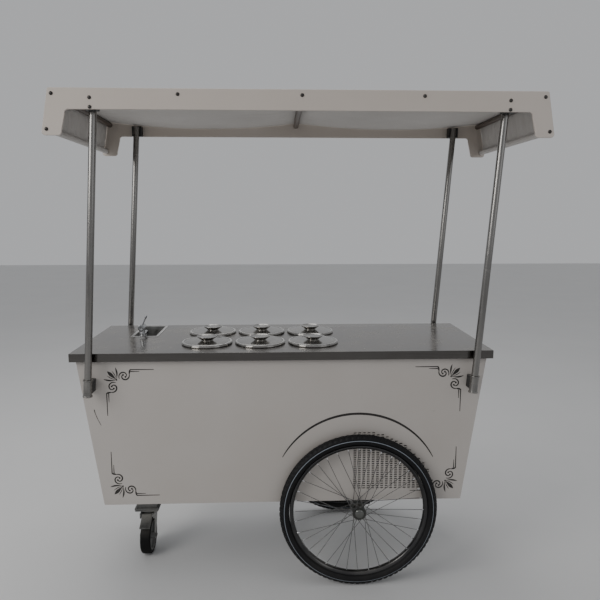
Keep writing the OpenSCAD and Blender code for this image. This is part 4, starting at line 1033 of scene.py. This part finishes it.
past_tube = np.minimum(np.abs(X), TUBE_X - np.abs(X)) - 0.008
roof_share = np.clip(past_tube / 0.06, 0, 1)
near_tube = np.exp(-(TUBE_X - np.abs(X)) / 0.16) + np.exp(-np.abs(X) / 0.16)
edge = 1 - (Y / CLOTH_HALF) ** 2
crease = (
    0.0016 * np.sin(Y * 2 * pi / 0.092 + 1.3 * np.sin(X * 5)) * near_tube
    + 0.0012 * np.sin(Y * 2 * pi / 0.061 + X * 9 + 0.7) * near_tube
    + 0.0034 * np.sin(X * 2 * pi / 0.41 + 0.8 * np.sin(Y * 7) + 0.5) * edge
    + 0.0022 * np.sin((X + 0.7 * Y) * 2 * pi / 0.23 + 1.1) * edge
    - 0.0050 * edge
)
drop = (TUBE_Z - path[:, 1, None]) / (TUBE_Z - HEM_Z - 1.3 * HEM_R)
hang = np.clip(drop, 0, 1) * np.clip(1 - drop, 0, 1) * 4
side = np.sign(X)
folds = (0.0026 * np.sin(Y * 2 * pi / 0.088 + 0.6 * side)
         + 0.0016 * np.sin(Y * 2 * pi / 0.047 + 2.1 + side)
         - 0.0030 * (1 - (Y / CLOTH_HALF) ** 4)) * hang
sheet_points = np.stack([
    X + side * folds, Y + 0 * X,
    path[:, 1, None] + crease * roof_share + 0 * Y], -1)
cut = np.stack([S + 0 * Y, Y + 0 * S], -1).reshape(-1, 2)
cloth = piece("canopy_cloth", [grid(sheet_points)], cloth_white, "canopy",
              ("canopy_fabric",), 80, cut)
thick = cloth.modifiers.new("cloth thickness", "SOLIDIFY")
thick.thickness, thick.offset, thick.use_even_offset = THICK, 0.0, True

# %% [markdown]
# The cream body is decorated with dark painted ornament: a long arc over the wheel and a
# scroll in each corner. Paint has a thickness of its own, so each stroke is a very thin
# ribbon on the panel. A ribbon needs a centre line and a width that swells and tapers.

# %% Painted strokes
FRONT_Y = corners("front_panel")[0][1]
PAINT = 0.0003


def stroke(line, half):
    """Ribbon from line - half·normal to line + half·normal, lifted PAINT off the panel."""
    line = np.asarray(line, float)
    half = np.broadcast_to(half, len(line))[:, None]
    way = np.gradient(line, axis=0)
    way /= np.maximum(np.linalg.norm(way, axis=1, keepdims=True), 1e-9)
    normal = np.stack([-way[:, 1], way[:, 0]], -1)
    low, high = line - half * normal, line + half * normal
    front, back = FRONT_Y - PAINT, FRONT_Y + PAINT
    rows = [np.stack([p[:, 0], np.full(len(p), y), p[:, 1]], -1)
            for p, y in ((low, back), (low, front), (high, front), (high, back))]
    shape = np.stack(rows, 1)
    ends = [np.repeat(shape[[k]].mean(1, keepdims=True), 4, 1) for k in (0, -1)]
    return grid(np.concatenate([ends[0], shape, ends[1]]), round_v=True)


def curl(centre, r_start, r_end, from_deg, to_deg, steps=44):
    """Spiral: the radius falls evenly while the angle runs on."""
    a = np.radians(np.linspace(from_deg, to_deg, steps))
    r = np.linspace(r_start, r_end, steps)
    return np.stack([centre[0] + r * np.cos(a), centre[1] + r * np.sin(a)], -1)


def swell(steps, thin, thick, peak=0.5):
    """A half-width that rises from thin to thick at peak and falls again."""
    t = np.linspace(0, 1, steps)
    return thin + (thick - thin) * np.sin(pi * t ** (np.log(0.5) / np.log(peak)))


def ball(centre, r, steps=9):
    """A dot: a short stroke whose half-width follows a circle, sqrt(r² - x²)."""
    x = np.linspace(-r, r, steps)
    line = np.stack([centre[0] + x, np.full(steps, centre[1])], -1)
    return line, np.sqrt(np.maximum(r * r - x * x, 0.01))


print("paint stands", PAINT, "m off the panel")

# %% [markdown]
# The scroll is a plain pattern-book one: straight rules, spirals with two arms and a fan
# of leaves. It is drawn once in millimetres, with its corner at zero, and mirrored into
# the four corners of the panel.

# %% Scrolls and the arc over the wheel
def scroll_strokes():
    """One corner in millimetres, corner at 0,0, with both directions running inwards."""
    heart, wide, tight = np.array([84.0, 37.0]), 22.0, 6.0
    side = [
        (np.linspace((108, 11), (203, 11), 16), np.linspace(2.2, 1.3, 16)),
        (np.linspace((110, 19), (146, 19), 10), np.linspace(2.2, 0.9, 10)),
        (np.array([(110, 10), (107.5, 14), (106, 19), (105.4, 24), (104.4, 28)]),
         swell(5, 2.0, 3.4)),
        (curl(heart, wide, tight, -24, 226), swell(44, 1.3, 3.0, 0.4)),
        (curl(heart, wide + 1, tight, 148, 398), swell(44, 1.1, 2.7, 0.4)),
    ]
    for turn in (226, 398):
        a = radians(turn)
        side.append(ball(heart + tight * np.array([cos(a), sin(a)]), 3.9))
    leaf, root = np.linspace(0, 1, 18)[:, None], np.array([53.0, 53.0])
    fan = [ball(root, 3.4)]
    for tip, bow, fat in (((50, 1), 4, 3.4), ((1, 50), -4, 3.4), ((17, 17), 0, 7.0),
                          ((35, 15), 3, 1.6), ((15, 35), -3, 1.6)):
        along = np.array(tip) - root
        away = np.array([-along[1], along[0]]) / np.linalg.norm(along) * bow
        fan.append((root + along * leaf + away * np.sin(pi * leaf), swell(18, 0.3, fat, 0.62)))
    return fan + side + [(line[:, ::-1], half) for line, half in side]


CORNERS = [(-0.728, 0.948, 1, -1), (0.742, 0.948, -1, -1),
           (-0.722, 0.388, 1, 1), (0.733, 0.388, -1, 1)]
strokes = []
for x0, z0, dx, dz in CORNERS:
    for line, half in scroll_strokes():
        at = np.stack([CART_X + x0 + dx * line[:, 0] / 1000, z0 + dz * line[:, 1] / 1000], -1)
        strokes.append(stroke(at, half / 1000))
piece("painted_scrolls", strokes, ornament_paint, "cart", (), 50)

ARC_CENTRE, ARC_R = np.array([CART_X + 0.306, 0.381]), 0.359
arc_line = arc_points(ARC_CENTRE, ARC_R, 151, 27.5, 140)
arc_half = 0.0009 + 0.0040 * np.sin(np.linspace(0, pi, 140)) ** 0.5
piece("painted_arc", [stroke(arc_line, arc_half)], ornament_paint,
      "cart", (), 50)

# %% [markdown]
# The body has been knocked once, near its left edge. The gouge is one more ribbon, with a
# ragged width, dark where the coat is gone.

# %% Gouge in the coat
gouge_t = np.linspace(0, 1, 22)
gouge = np.stack([CART_X - 0.770 + 0.025 * gouge_t ** 1.4, 0.772 - 0.068 * gouge_t], -1)
ragged = 0.0008 + 0.0010 * np.abs(np.sin(gouge_t * 9.0 + 0.6)) * (1 - gouge_t)
piece("gouge", [stroke(gouge, ragged)], ornament_paint, "cart", (), 50)

# %% [markdown]
# The floor goes last. It is one wide quad grid in a plain pale finish with a very faint
# mottle.

# %% Floor
floor_finish = Finish("studio_floor")
mottle = noise(floor_finish.tree, floor_finish.here, 1.3, 5.0)
floor_finish.set(
    Base_Color=blended(floor_finish.tree, mottle, rgb(0.60, 0.60, 0.60), rgb(0.66, 0.66, 0.655)),
    Roughness=0.6)
FLOOR_HALF = 16
span = np.linspace(-FLOOR_HALF, FLOOR_HALF, 9)
gx, gy = np.meshgrid(span, span, indexing="ij")
verts, faces = grid(np.stack([gx, gy, 0 * gx], -1))
floor_mesh = bpy.data.meshes.new("studio_floor")
floor_mesh.from_pydata(verts, [], faces.tolist())
floor_mesh.materials.append(floor_finish.material)
floor = bpy.data.objects.new("studio_floor", floor_mesh)
bpy.context.scene.collection.objects.link(floor)
print("floor", 2 * FLOOR_HALF, "m square")

# %% [markdown]
# The last cell brings the view layer up to date.


bpy.context.view_layer.update()
